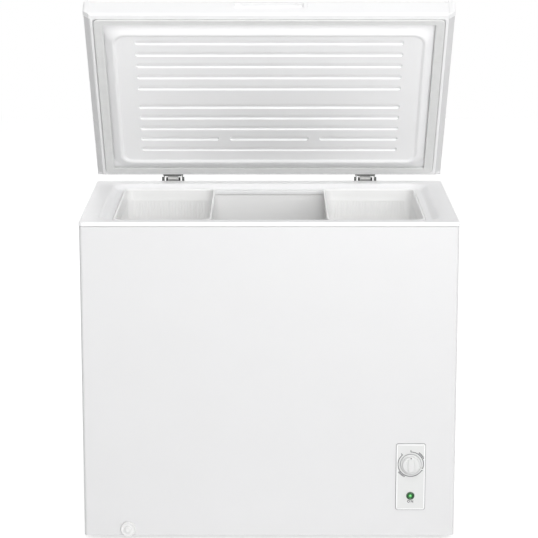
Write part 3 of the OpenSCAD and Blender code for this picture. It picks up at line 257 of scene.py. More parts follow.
def stucco_sheet(name, color):
    """Embossed liner sheet, with the small pillows that its rollers leave."""
    finish = Finish(name, color, 0.42)
    pillows = finish.node("ShaderNodeTexVoronoi", {"feature": "SMOOTH_F1"},
                          {"Vector": finish.place, "Scale": 260.0, "Smoothness": 0.6}, "Distance")
    cloud = finish.noise(9.0, 3.0)
    finish.tint(cloud, tuple(c * 0.96 for c in color))
    finish.set("Roughness", cloud * 0.12 + 0.36)
    finish.bump(pillows, 0.00025, 0.4)
    return finish.material


def galvanised(name, color):
    """Zinc-coated steel, with its spangle."""
    finish = Finish(name, color, 0.38, metallic=1.0)
    spangle = finish.node("ShaderNodeTexVoronoi", {"feature": "F1"},
                          {"Vector": finish.place, "Scale": 160.0}, "Color")
    shade = finish.node("ShaderNodeSeparateColor", {}, {0: spangle}, 0)
    finish.tint(shade, tuple(c * 0.82 for c in color))
    finish.set("Roughness", shade * 0.16 + 0.30)
    finish.bump(finish.noise(600.0), 0.00003)
    return finish.material


def brushed_steel(name, color, roughness=0.34):
    """Bright zinc plate over rolled steel, brushed along X."""
    finish = Finish(name, color, roughness, metallic=1.0)
    streaks = finish.noise(240.0, 3.0, stretch=(0.06, 1.0, 1.0))
    finish.tint(streaks, tuple(c * 0.8 for c in color))
    finish.set("Roughness", streaks * 0.2 + (roughness - 0.1))
    finish.bump(streaks, 0.00004)
    return finish.material


def rigid_foam(name, color):
    """Blown polyurethane foam: pale cells and darker pits."""
    finish = Finish(name, color, 0.95, specular=0.2)
    cells = finish.node("ShaderNodeTexVoronoi", {"feature": "F1"},
                        {"Vector": finish.place, "Scale": 420.0}, "Distance")
    cloud = finish.noise(22.0, 4.0)
    finish.tint(cells * cloud, tuple(c * 0.6 for c in color), 1.6)
    finish.bump(cells + cloud, 0.0006, 0.7)
    return finish.material


def gloss_black(name, color):
    """Black stove enamel on a pressed steel shell, with dust where it settles."""
    finish = Finish(name, color, 0.22, coat=0.5)
    dust = finish.ramp(finish.noise(35.0, 5.0), (0.45, 0.0), (0.85, 1.0))
    finish.tint(dust, (0.16, 0.15, 0.14), 0.35)
    finish.set("Roughness", dust * 0.3 + 0.2)
    finish.bump(finish.noise(300.0), 0.00005)
    return finish.material


def soft_rubber(name, color, roughness=0.62):
    """Extruded rubber or soft vinyl, slightly chalky."""
    finish = Finish(name, color, roughness, specular=0.35)
    chalk = finish.noise(60.0, 4.0)
    finish.tint(chalk, tuple(min(1.0, c * 1.12 + 0.01) for c in color), 0.8)
    finish.set("Roughness", chalk * 0.15 + (roughness - 0.07))
    finish.bump(finish.noise(700.0), 0.00005)
    return finish.material


def drawn_copper(name, color):
    """Drawn copper tube, with warm tarnish in patches."""
    finish = Finish(name, color, 0.3, metallic=1.0)
    tarnish = finish.ramp(finish.noise(45.0, 5.0), (0.4, 0.0), (0.75, 1.0))
    finish.tint(tarnish, (0.34, 0.17, 0.10), 0.7)
    finish.set("Roughness", tarnish * 0.3 + 0.24)
    finish.bump(finish.noise(500.0), 0.00003)
    return finish.material


def clear_green(name, color, glow):
    """Dyed acrylic, lit faintly from within."""
    finish = Finish(name, color, 0.12, coat=0.6)
    cloud = finish.noise(300.0, 2.0)
    shade = finish.tint(cloud, tuple(c * 0.85 for c in color))
    finish.set("Emission Color", shade)
    finish.set("Emission Strength", glow)
    finish.set("Roughness", cloud * 0.08 + 0.08)
    finish.bump(cloud, 0.00003)
    return finish.material


finishes = {
    "white_enamel": sprayed_enamel("white_enamel", (0.735, 0.735, 0.74)),
    "back_steel": sprayed_enamel("back_steel", (0.78, 0.785, 0.79), 0.45, 0.0),
    "white_plastic": moulded_plastic("white_plastic", (0.92, 0.92, 0.925)),
    "panel_plastic": moulded_plastic("panel_plastic", (0.72, 0.725, 0.72), 0.4, 1400.0),
    "basket_plastic": moulded_plastic("basket_plastic", (0.905, 0.905, 0.90), 0.36, 700.0),
    # the basket's plastic painted brighter: a painted highlight for the basket rims
    "rim_highlight_plastic": moulded_plastic("rim_highlight_plastic", (0.99, 0.99, 0.985), 0.3, 700.0),
    "tub_sheet": stucco_sheet("tub_sheet", (0.96, 0.96, 0.955)),
    "foam": rigid_foam("foam", (0.80, 0.68, 0.40)),
    "zinc_steel": galvanised("zinc_steel", (0.62, 0.625, 0.62)),
    "hinge_steel": brushed_steel("hinge_steel", (0.15, 0.153, 0.15), 0.44),
    "black_steel": gloss_black("black_steel", (0.018, 0.018, 0.02)),
    "black_plastic": moulded_plastic("black_plastic", (0.03, 0.03, 0.032), 0.5),
    "grey_rubber": soft_rubber("grey_rubber", (0.69, 0.695, 0.69)),
    "black_rubber": soft_rubber("black_rubber", (0.03, 0.03, 0.03), 0.7),
    "copper": drawn_copper("copper", (0.72, 0.40, 0.26)),
    "green_lens": clear_green("green_lens", (0.004, 0.075, 0.012), 0.0),
    "green_lamp": clear_green("green_lamp", (0.13, 0.60, 0.16), 0.25),
    "dark_ink": moulded_plastic("dark_ink", (0.07, 0.07, 0.078), 0.55),
    "cam_steel": sprayed_enamel("cam_steel", (0.80, 0.80, 0.79), 0.35, 0.0),
    "cap_plastic": moulded_plastic("cap_plastic", (0.78, 0.78, 0.775), 0.34),
    # painted shade: a dark grey for the rings that stand for the shadow gaps round the panel and
    # the knob
    "gap_shade_grey": soft_rubber("gap_shade_grey", (0.30, 0.30, 0.31)),
    "grey_wire": soft_rubber("grey_wire", (0.20, 0.20, 0.21)),
}

floor_finish = Finish("floor_paint", (0.93, 0.93, 0.93), 0.9, specular=0.0)
floor.data.materials.append(floor_finish.material)
glow = floor_finish.node("ShaderNodeEmission", {}, {"Color": (1, 1, 1, 1), "Strength": 0.6})
painted = Field(floor_finish, floor_finish.shader.outputs[0])
lit = floor_finish.node("ShaderNodeAddShader", {}, {0: glow, 1: painted})
seen_by_camera = floor_finish.node("ShaderNodeLightPath", {}, {}, "Is Camera Ray")
paint = floor_finish.node("ShaderNodeMixShader", {}, {0: seen_by_camera, 1: painted, 2: lit})
floor_surface = floor_finish.tree.nodes["Material Output"].inputs["Surface"]
floor_finish.tree.links.new(paint.socket, floor_surface)

for part in frame["record"]["subparts"]:
    node = nodes[part["node"]]
    node.data.materials.clear()
    node.data.materials.append(finishes[part["material_slot"]])


# ---- Making pieces: sizes are in millimetres ----

half, face, back, top = side_x / MM, front_y / MM, rear_y / MM, top_z / MM
PIN_TO_LID_REAR, PIN_TO_LID_LOW = 9, 10
lid_rear, lid_low = pin.y / MM - PIN_TO_LID_REAR, pin.z / MM - PIN_TO_LID_LOW
LEVEL_STEP = 0.01  # keeps rings at one level apart, because they would bridge inside out
EASE_STEPS = 4  # faces across a rounded break


def middle_of(name, axis):
    """Where the middle of a solid's box lies along the axis x, y or z."""
    lo, hi = corner_of[name]
    return (getattr(lo, axis) + getattr(hi, axis)) / 2 / MM


def only(*chosen):
    """Leaves edit mode, and selects these pieces and nothing else."""
    if bpy.context.object and bpy.context.object.mode != "OBJECT":
        bpy.ops.object.mode_set(mode="OBJECT")
    bpy.ops.object.select_all(action="DESELECT")
    for piece in chosen:
        piece.select_set(True)
        bpy.context.view_layer.objects.active = piece


def named(name):
    """Names what was made last, and its mesh."""
    piece = bpy.context.object
    piece.name = piece.data.name = name
    return piece


def pick(piece, kind, test):
    """Opens a piece for editing, with what passes a test of middle and direction selected."""
    only(piece)
    mesh = piece.data
    for part in (mesh.vertices, mesh.edges, mesh.polygons):
        part.foreach_set("select", np.zeros(len(part), bool))
    if kind == "FACE":
        for part in mesh.polygons:
            part.select = bool(test(part.center / MM, part.normal))
    else:
        for part in mesh.edges:
            a, b = (mesh.vertices[i].co / MM for i in part.vertices)
            part.select = bool(test((a + b) / 2, b - a))
    bpy.context.tool_settings.mesh_select_mode = (False, kind == "EDGE", kind == "FACE")
    bpy.ops.object.mode_set(mode="EDIT")


def done(piece):
    """Leaves edit mode."""
    bpy.ops.object.mode_set(mode="OBJECT")
    return piece


def bridged(piece, count, rings, joined):
    """Joins rings of equal count with faces: the last to the first, or with both ends closed."""
    bpy.ops.object.mode_set(mode="OBJECT")
    mesh = piece.data
    assert len(mesh.vertices) == count * rings, f"{piece.name}: a ring has lost its corners"
    jobs = [(k, k + 1) for k in range(rings - 1)]
    jobs += [(rings - 1, 0)] if joined else [(0,), (rings - 1,)]
    for job in jobs:
        for part in (mesh.vertices, mesh.edges, mesh.polygons):
            part.foreach_set("select", np.zeros(len(part), bool))
        tied = np.zeros(len(mesh.edges) * 2, np.int32)
        mesh.edges.foreach_get("vertices", tied)
        ring = tied.reshape(-1, 2) // count
        mesh.edges.foreach_set("select", (ring[:, 0] == ring[:, 1]) & np.isin(ring[:, 0], job))
        bpy.context.tool_settings.mesh_select_mode = (False, True, False)
        bpy.ops.object.mode_set(mode="EDIT")
        if len(job) == 2:
            bpy.ops.mesh.bridge_edge_loops()
        else:
            bpy.ops.mesh.edge_face_add()
        bpy.ops.object.mode_set(mode="OBJECT")
    bpy.ops.object.mode_set(mode="EDIT")
    bpy.ops.mesh.select_all(action="SELECT")
    bpy.ops.mesh.normals_make_consistent(inside=False)
    return done(piece)


def framed(name, rings, arc=6, joined=False):
    """A skin through round-cornered frames, each (x1, x2, y1, y2, corner radius, z)."""
    only()
    bpy.ops.mesh.primitive_plane_add(size=1)
    piece = named(name)
    bpy.ops.object.mode_set(mode="EDIT")
    bpy.ops.mesh.delete(type="VERT")
    for index, (x1, x2, y1, y2, corner, z) in enumerate(rings):
        z += LEVEL_STEP * (index % 2)
        middle = ((x1 + x2) / 2 * MM, (y1 + y2) / 2 * MM, z * MM)
        bpy.ops.mesh.primitive_plane_add(size=1, location=middle)
        bpy.ops.transform.resize(value=((x2 - x1) * MM, (y2 - y1) * MM, 1), center_override=middle)
        bpy.ops.mesh.bevel(offset=corner * MM, segments=arc, affect="VERTICES", profile=0.5)
        bpy.ops.mesh.delete(type="ONLY_FACE")
    return bridged(piece, 4 * (arc + 1), len(rings), joined)


def turned(name, steps, sides=64, joined=False):
    """A turned piece round the Z axis: steps are (radius, height)."""
    only()
    radius, height = steps[0]
    bpy.ops.mesh.primitive_plane_add(size=MM, location=(radius * MM, 0, height * MM))
    piece = named(name)
    bpy.ops.object.transform_apply(location=True, rotation=True, scale=True)
    bpy.context.tool_settings.mesh_select_mode = (True, False, False)
    bpy.ops.object.mode_set(mode="EDIT")
    bpy.ops.mesh.select_all(action="SELECT")
    bpy.ops.mesh.merge(type="CENTER")
    path = steps + steps[:1] if joined else steps
    for (r1, z1), (r2, z2) in zip(path, path[1:]):
        step = {"value": ((r2 - r1) * MM, 0, (z2 - z1) * MM)}
        bpy.ops.mesh.extrude_region_move(TRANSFORM_OT_translate=step)
    bpy.ops.mesh.select_all(action="SELECT")
    bpy.ops.mesh.spin(steps=sides, angle=2 * math.pi, center=(0, 0, 0), axis=(0, 0, 1))
    bpy.ops.mesh.select_all(action="SELECT")
    bpy.ops.mesh.remove_doubles(threshold=0.001 * MM)
    if not joined:
        bpy.ops.mesh.select_all(action="DESELECT")
        bpy.ops.mesh.select_non_manifold(extend=False)
        bpy.ops.mesh.fill_holes(sides=0)
    bpy.ops.mesh.select_all(action="SELECT")
    bpy.ops.mesh.normals_make_consistent(inside=False)
    return done(piece)


def eased(rings, reach):
    """Rounds the breaks between rings: reach gives how far from a ring its rounding starts."""
    rings = [np.array(ring, float) for ring in rings]
    smooth = []
    for index, ring in enumerate(rings):
        if index not in reach:
            smooth.append(ring)
            continue
        sides = []
        for other in (rings[index - 1], rings[(index + 1) % len(rings)]):
            step = other - ring
            sides.append(ring + step * min(0.45, reach[index] / math.hypot(step[1], step[5])))
        for t in np.linspace(0, 1, EASE_STEPS + 1):
            smooth.append((1 - t) ** 2 * sides[0] + 2 * t * (1 - t) * ring + t * t * sides[1])
    return smooth


def block(name, x1, x2, y1, y2, z1, z2):
    """A box between two corners, as a start for a piece or a cutter."""
    only()
    middle = ((x1 + x2) / 2 * MM, (y1 + y2) / 2 * MM, (z1 + z2) / 2 * MM)
    bpy.ops.mesh.primitive_cube_add(size=1, location=middle)
    piece = named(name)
    piece.scale = ((x2 - x1) * MM, (y2 - y1) * MM, (z2 - z1) * MM)
    bpy.ops.object.transform_apply(location=True, rotation=True, scale=True)
    return piece


def placed(piece, matrix):
    """Moves a piece, and leaves its own origin where the world's is."""
    only(piece)
    piece.matrix_world = matrix @ piece.matrix_world
    bpy.ops.object.transform_apply(location=True, rotation=True, scale=True)
    return piece


def on_front(piece, x, z, y=None):
    """Turns a piece that stands on the origin to stand on the cabinet's front."""
    y = face if y is None else y
    upright = Matrix.Rotation(math.radians(90), 4, "X")
    return placed(piece, Matrix.Translation((x * MM, y * MM, z * MM)) @ upright)


def with_modifier(piece, kind, **settings):
    """Shapes a piece by a modifier, and applies it."""
    only(piece)
    modifier = piece.modifiers.new("shaping", kind)
    for name, value in settings.items():
        setattr(modifier, name, value)
    bpy.ops.object.modifier_apply(modifier=modifier.name)
    return piece


def rounded(piece, radius, segments, test):
    """Rounds the edges that pass a test of middle and direction."""
    pick(piece, "EDGE", test)
    bpy.ops.mesh.bevel(offset=radius * MM, segments=segments, profile=0.5)
    return done(piece)


def soften(piece, width, segments=2, limit=30):
    """Rounds every edge that turns by more than a limit in degrees."""
    return with_modifier(piece, "BEVEL", width=width * MM, segments=segments, limit_method="ANGLE",
                         angle_limit=math.radians(limit))


def carve(piece, cutter, operation="DIFFERENCE"):
    """Cuts a piece by another one, or welds that one on, and uses it up."""
    with_modifier(piece, "BOOLEAN", object=cutter, operation=operation, solver="EXACT")
    bpy.data.objects.remove(cutter)
    return piece


def joined_pieces(pieces):
    """Makes several pieces one, under the first one's name."""
    only(*reversed(pieces))
    bpy.ops.object.join()
    return pieces[0]


def copied(piece, name, matrix):
    """A copy with a mesh of its own, moved by a matrix."""
    twin = bpy.data.objects.new(name, piece.data.copy())
    twin.data.name = name
    bpy.context.collection.objects.link(twin)
    return placed(twin, matrix)


def fitted(piece, body, slot, *replaced, angle=35, finish=None):
    """Gives a piece its finish, and ties it to the body that it moves with."""
    only(piece)
    bpy.ops.object.shade_smooth_by_angle(angle=math.radians(angle))
    with_modifier(piece, "WEIGHTED_NORMAL", keep_sharp=True)
    piece.data.materials.clear()
    piece.data.materials.append(finishes[finish or slot])
    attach(piece, body)
    if replaced:
        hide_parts(*replaced)
    return piece


def part_finish(piece, finish, test):
    """Gives another finish to the faces whose middles pass a test."""
    piece.data.materials.append(finishes[finish])
    for part in piece.data.polygons:
        if test(part.center / MM):
            part.material_index = 1


def eased_copy(name, node, width):
    """A copy of a solid with its edges broken, as its tool or press leaves them."""
    piece = bpy.data.objects.new(name, nodes[node].data.copy())
    piece.data.name = name
    bpy.context.collection.objects.link(piece)
    only(piece)
    bpy.ops.object.mode_set(mode="EDIT")
    bpy.ops.mesh.select_all(action="SELECT")
    bpy.ops.mesh.remove_doubles(threshold=0.01 * MM)
    bpy.ops.mesh.dissolve_limited(angle_limit=math.radians(0.5))
    done(piece)
    if width:
        soften(piece, width)
    return piece


# ---- Cabinet and collar ----

def collar_ring(side, front, rear, corner, z):
    return (-half + side, half - side, face + front, back - rear, corner, z)


collar = framed("collar_moulding", eased([
    collar_ring(2, 2, 2, 6, top - 11.0),
    collar_ring(-1, -1, -1, 9, top - 11.0),
    collar_ring(-1, -1, -1, 9, top),
    collar_ring(46, 32, 45, 41, top),
    collar_ring(60, 46, 59, 35, top - 14),
    collar_ring(76, 69, 78, 22, top - 14.6),
    collar_ring(76, 69, 78, 22, top - 24),
    collar_ring(73, 66, 75, 25, top - 24),
    collar_ring(73, 66, 75, 25, top - 17),
    collar_ring(57, 43, 56, 38, top - 17),
    collar_ring(43, 29, 42, 44, top - 3),
    collar_ring(2, 2, 2, 6, top - 3),
], {1: 0.6, 2: 3.0, 3: 5.0, 4: 3.0, 5: 1.4, 6: 1.0}), arc=8, joined=True)
fitted(collar, "cabinet", "white_plastic", "collar")


# ---- Lid, made shut and then turned open about its hinge pins ----

LID_DEPTH, LID_HEIGHT = 600, 50
PANEL_DROP = 10  # how far the panel's raised rim stands off the lid's lower edge
PANEL_MIDDLE = 304  # from the lid's rear edge
GROOVES, FIRST_GROOVE, GROOVE_PITCH = 5, 34.5, 41  # in each half, counted from the middle
GROOVE = 692
BROKEN_ROW = 3  # in the rear half, this row is three short grooves
SIDE_GROOVE, MIDDLE_GROOVE, SIDE_GROOVE_X = 211, 212, 240.5
GROOVE_ENDS = 9  # about what the round ends add to a groove's straight stretch


def lid_ring(x, v1, v2, corner, z):
    """A frame of the lid: half its width, then how far it lies from the lid's rear edge."""
    return (-x, x, lid_rear - v2, lid_rear - v1, corner, z)


def groove_bar(x, v, length, steps):
    """A long round-ended bar: steps are (how far it reaches down and up from its line, z)."""
    reach = (length - GROOVE_ENDS) / 2
    return framed("groove_bar", [
        (x - reach - down, x + reach + down, lid_rear - v - up, lid_rear - v + down,
         (up + down) * 0.499, z) for down, up, z in steps])


groove_places = []
for way in (-1, 1):
    for row in range(GROOVES):
        v = PANEL_MIDDLE - way * (FIRST_GROOVE + GROOVE_PITCH * row)
        if way == 1 and row == BROKEN_ROW:
            groove_places += [(-SIDE_GROOVE_X, v, SIDE_GROOVE), (0, v, MIDDLE_GROOVE),
                              (SIDE_GROOVE_X, v, SIDE_GROOVE)]
        else:
            groove_places.append((0, v, GROOVE))

low = lid_low - PANEL_DROP
lid_panel = framed("lid_panel_moulding", eased([
    lid_ring(384, 76, 518, 16, low + 4.2),
    lid_ring(393.5, 66.5, 527.5, 24, low + 4.2),
    lid_ring(399.5, 60.5, 534, 30, low),
    lid_ring(403.5, 55.5, 539, 33, low),
    lid_ring(425, 34, 568, 40, low + 14),
    lid_ring(448, 9, 583.6, 12, low + 14),
    lid_ring(449.5, 7.5, 583.8, 11, low + 9.5),
    lid_ring(455.5, 2.5, 584.5, 6, low + 9),
    lid_ring(457.2, 1.2, 584.8, 4, low + 11),
    lid_ring(460.5, 1.2, 584.8, 3, low + 14.4),
    lid_ring(460.5, 1.2, 584.8, 3, low + 16),
    lid_ring(423.5, 35.5, 566.5, 39, low + 16),
    lid_ring(402, 57, 537.5, 32, low + 2),
    lid_ring(400, 59, 535, 30, low + 2),
    lid_ring(391, 69, 525, 23, low + 6.2),
], {1: 1.2, 2: 1.6, 3: 2.0, 4: 2.0, 6: 1.2, 7: 1.6}), arc=8)
groove_back = [(6.5, 12.5, low + 5.6), (6, 8, low + 9.4), (4, 4, low + 10.6)]
groove_cut = [(5.8, 13.2, low + 3.4), (4.8, 11, low + 4.3), (4, 6.8, low + 5.9),
              (3.4, 3, low + 7.5), (1.6, 1.2, low + 8.8)]
backs = joined_pieces([groove_bar(*place, groove_back) for place in groove_places])
foam_reliefs = copied(backs, "foam_reliefs", Matrix.Identity(4))
carve(lid_panel, backs, "UNION")
carve(lid_panel, joined_pieces([groove_bar(*place, groove_cut) for place in groove_places]))
placed(lid_panel, to_open_lid)
fitted(lid_panel, "lid", "white_plastic", "lid_inner_panel", angle=28)

lid_foam = framed("lid_foam_block", [
    lid_ring(391.2, 68.8, 525.2, 23, low + 6.4),
    lid_ring(400.2, 58.8, 535.2, 30, low + 2.2),
    lid_ring(401.8, 57.2, 537.3, 32, low + 2.2),
    lid_ring(423.3, 35.7, 566.3, 39, low + 16.2),
    lid_ring(459.5, 1.4, 584.6, 2, low + 16.2),
    lid_ring(470.8, 1.6, 584.6, 2, low + 29),
    lid_ring(470.8, 1.6, 584.6, 2, low + 50),
    lid_ring(469.7, 2.8, 584.6, 3, low + 54.2),
    lid_ring(466.6, 5.9, 584.6, 5, low + 57.3),
    lid_ring(462.4, 10.1, 584.6, 8, low + 58.4)], arc=8)
carve(lid_foam, foam_reliefs)
placed(lid_foam, to_open_lid)
fitted(lid_foam, "lid", "foam", "lid_foam")

# (how far in from the gasket's outer edge, height), followed round the bellows and its magnet strip
gasket_section = [
    (2.5, 4.0), (2.5, 3.2), (0.8, 2.2), (3.6, 0.6), (0.6, -1.0), (0.0, -2.2), (0.0, -4.6),
    (0.9, -5.7), (5.0, -5.7), (6.0, -5.3), (14.0, -5.3), (15.0, -5.7), (19.1, -5.7), (20.0, -4.6),
    (20.0, -2.2), (19.0, -1.2), (15.5, -0.4), (18.6, 1.6), (16.5, 3.0), (16.5, 4.0)]
gasket = framed("lid_gasket_bellows", [
    lid_ring(447.8 - 1.19 * t, 9.2 + 1.04 * t, 583.4 - 0.8 * t, 12 - 0.4 * t, lid_low + z)
    for t, z in gasket_section], arc=4, joined=True)
placed(gasket, to_open_lid)
fitted(gasket, "lid", "grey_rubber", "lid_gasket", angle=50)

TRIM_HALF, TRIM_DEPTH = 457, 15
SCOOP_HALF, SCOOP_DEPTH, SCOOP_LOW, SCOOP_HIGH = 87.5, 11, 24, 42
JOINT_LINES = ((-97.2, -95.8), (95.8, 97.2))  # on both sides of the handle
JOINT_DEPTH, JOINT_LOW, JOINT_HIGH = 2.4, 23, 44
# the rear corners: spans out from the middle, in from the lid's rear edge and up from its lower one
GUSSET_X, GUSSET_IN, GUSSET_UP = (456.5, 472.3), (3.2, 0.2), (0.2, 17)

lid_front = lid_rear - LID_DEPTH
trim = block("lid_front_moulding", -TRIM_HALF, TRIM_HALF, lid_front, lid_front + TRIM_DEPTH,
             lid_low, lid_low + LID_HEIGHT)
rounded(trim, 6, 6, lambda p, d: abs(d.x) > 100 and p.y < lid_front + 1 and p.z > lid_low + 40)
rounded(trim, 5, 6, lambda p, d: abs(d.x) > 100 and p.y < lid_front + 1 and p.z < lid_low + 1)
scoop = block("scoop", -SCOOP_HALF, SCOOP_HALF, lid_front - 2, lid_front + SCOOP_DEPTH,
              lid_low + SCOOP_LOW, lid_low + SCOOP_HIGH)
rounded(scoop, 10.5, 8,
        lambda p, d: abs(d.x) > 100 and p.y > lid_front + 10 and p.z < lid_low + 25)
soften(scoop, 1.2, 2, 50)
carve(trim, scoop)
for x1, x2 in JOINT_LINES:
    carve(trim, block("joint_line", x1, x2, lid_front - 1, lid_front + JOINT_DEPTH,
                      lid_low + JOINT_LOW, lid_low + JOINT_HIGH))
soften(trim, 0.45, 2, 40)
placed(trim, to_open_lid)
fitted(trim, "lid", "white_plastic", "lid_front_trim")

for side in ("left", "right"):
    cap = placed(eased_copy(f"lid_cap_{side}", f"lid_end_cap_{side}", 0), to_open_lid.inverted())
    soften(cap, 1.0, 3)
    placed(cap, to_open_lid)
    fitted(cap, "lid", "white_plastic", f"lid_end_cap_{side}")
fitted(eased_copy("lid_shell", "lid_skin", 0.5), "lid", "white_enamel", "lid_skin")
for side, way in (("left", -1), ("right", 1)):
    gusset = block(f"lid_shell_corner_{side}", *sorted(way * x for x in GUSSET_X),
                   *(lid_rear - y for y in GUSSET_IN), *(lid_low + z for z in GUSSET_UP))
    rounded(gusset, 3.5, 5, lambda p, d: abs(p.x) > 472 and p.z < lid_low + 1 and abs(d.y) > 1)
    soften(gusset, 0.5)
    placed(gusset, to_open_lid)
    fitted(gusset, "lid", "white_enamel")


# ---- Baskets ----

BASKET_HALF = 124
BASKET_FRONT, BASKET_REAR = 65, 74  # in from the cabinet's front and rear
RIM_DROP = 7.7
HIGHLIGHT_BAND = 5.6  # what lies within this of the top is painted brighter than the basket: a painted highlight on the rim
WALL_TOP, WALL_FOOT = 34, 178  # the ribbed wall's levels, down from the rim
STRIPS = (48, 96)  # upright strips along X and along Y, of which every second one is pressed in
STRIP_WIDTHS = (4.06, 3.96)
SLOT_HALF, SLOT_REACH = 3, 26  # half a floor slot's width and length
SLOT_COLUMNS, SLOT_ROWS = range(-90, 91, 18), range(-156, 129, 71)  # their middles in X and in Y
SLOT_LEVELS = (187, 180)  # the cutter's foot and top, down from the rim


def basket_ring(x, y, corner, z):
    """A frame of a basket, by how far it stands in from the rim."""
    return (-BASKET_HALF + x, BASKET_HALF - x, face + BASKET_FRONT + y, back - BASKET_REAR - y,
            corner, z)


rim = top - RIM_DROP
basket_wall = [
    basket_ring(10, 15, 16, rim - 185),
    basket_ring(8, 13, 18, rim - 184),
    basket_ring(7, 12, 19, rim - 182),
    basket_ring(5.5, 10.5, 20, rim - 30),
    basket_ring(3, 8, 22, rim - 27),
    basket_ring(3, 8, 22, rim - 6),
    basket_ring(1.2, 1.6, 27, rim - 5.4),
    basket_ring(0, 0, 28, rim - 3.6),
    basket_ring(0, 0, 28, rim - 2.2),
    basket_ring(0.9, 0.9, 27, rim - 0.7),
    basket_ring(2.6, 2.6, 25, rim),
    basket_ring(4.4, 6.4, 22, rim - 0.5),
    basket_ring(5.4, 9.6, 20, rim - 2.2),
    basket_ring(5.6, 10.4, 20, rim - 5),
    basket_ring(5.6, 10.4, 20, rim - 20),
    basket_ring(6.9, 11.8, 19, rim - 27),
    basket_ring(7.8, 12.8, 18.5, rim - WALL_TOP),
    basket_ring(9.2, 14.2, 17, rim - WALL_FOOT),
    basket_ring(10.4, 15.4, 16, rim - 181.5),
    basket_ring(13, 18, 14, rim - 183),
]
basket = framed("basket_moulding", basket_wall, arc=7)
levels = (rim - WALL_TOP, rim - WALL_FOOT)
basket_y = (face + BASKET_FRONT + back - BASKET_REAR) / 2
for way, strips in enumerate(STRIPS):
    pick(basket, "EDGE", lambda p, d: min(abs(p.z - z) for z in levels) < 0.4 and abs(d[way]) > 60)
    bpy.ops.mesh.subdivide(number_cuts=strips - 1)
    done(basket)
pick(basket, "FACE", lambda p, n: rim - 120 < p.z < rim - 90 and abs(n.z) < 0.2 and (
    (abs(n.y) > 0.9 and abs(p.x) < 100 and math.floor(p.x / STRIP_WIDTHS[0] + 100) % 2) or
    (abs(n.x) > 0.9 and abs(p.y - basket_y) < 190
     and math.floor((p.y - basket_y) / STRIP_WIDTHS[1] + 200) % 2)))
bpy.ops.mesh.inset(thickness=0.5 * MM, depth=-0.7 * MM, use_individual=True)
done(basket)
carve(basket, joined_pieces([
    framed("drain", [(x - SLOT_HALF, x + SLOT_HALF, y - SLOT_REACH, y + SLOT_REACH, 2.9, rim - z)
                     for z in SLOT_LEVELS], arc=4)
    for x in SLOT_COLUMNS for y in SLOT_ROWS]))
basket_x = (corner_of["basket_right"][0].x + corner_of["basket_right"][1].x) / 2
copied(basket, "basket_moulding_right", Matrix.Translation((basket_x, 0, 0)))
placed(basket, Matrix.Translation((-basket_x, 0, 0)))
basket.name = basket.data.name = "basket_moulding_left"
for side in ("left", "right"):
    basket = bpy.data.objects[f"basket_moulding_{side}"]
    fitted(basket, f"basket_{side}", "basket_plastic", f"basket_{side}", angle=32)
    # the rims get a painted highlight, a brighter copy of the basket's plastic
    part_finish(basket, "rim_highlight_plastic", lambda p: p.z > rim - HIGHLIGHT_BAND)


# ---- Control panel ----

PLATE = 3  # how far the panel's plate stands out
PRINT = 0.4  # the printed field lies this far below the plate's rim
FIELD_HALF_X, FIELD_HALF_Z = 34, 84.5  # the printed field's reach from the plate's middle; beyond it the plate's rim gets a painted highlight in white
EDGE_HALF_X, EDGE_HALF_Z = 31, 81  # the plate's outer edges lie farther out than this
POINTER_REACH = 18.9  # from the knob's axis
MARK_RADIUS, MARK_WIDTH = 32.4, 1.7
SCALE_MIDDLES = (40, 229)
SCALE_STEPS = (-14, -9.3, -4.7, 0, 4.7, 9.3, 14)
LABEL_DROP = 15.5  # from the lamp's axis

panel_lo, panel_hi = corner_of["control_panel"]
half_width = (panel_hi.x - panel_lo.x) / 2 / MM
half_height = (panel_hi.z - panel_lo.z) / 2 / MM
panel_x, panel_z = middle_of("control_panel", "x"), middle_of("control_panel", "z")
knob_z, lens_z = middle_of("thermostat_knob", "z"), middle_of("indicator_lens", "z")
plate_y = face - PLATE

panel = eased_copy("control_panel_moulding", "control_panel", 0)
rounded(panel, 0.9, 3, lambda p, d: p.y < plate_y + 0.05 and abs(d.y) < 0.01 and
        (abs(p.x - panel_x) > EDGE_HALF_X or abs(p.z - panel_z) > EDGE_HALF_Z))
pick(panel, "FACE", lambda p, n: n.y < -0.99 and p.y < plate_y + 0.05)
bpy.ops.mesh.inset(thickness=2.2 * MM)
bpy.ops.mesh.inset(thickness=0.35 * MM, depth=-PRINT * MM)
done(panel)
fitted(panel, "cabinet", "panel_plastic", "control_panel", angle=14)
# painted highlight: the plate's rim outside the field gets the white plastic, standing for the
# light on its bevel
part_finish(panel, "white_plastic", lambda p: abs(p.x - panel_x) > FIELD_HALF_X
            or abs(p.z - panel_z) > FIELD_HALF_Z)

# painted shade: a dark ring round the plate, standing for the shadow in the gap at its edge
gap_shade_ring = framed("panel_gap_shade", [
    (-half_width - w, half_width + w, -half_height - w, half_height + w, 4.5 + w, z)
    for w, z in ((0.1, 0), (1.4, 0), (1.4, 1.0), (1.1, 1.3), (0.1, 1.3))], joined=True)
on_front(gap_shade_ring, panel_x, panel_z)
fitted(gap_shade_ring, "cabinet", "grey_wire", finish="gap_shade_grey")

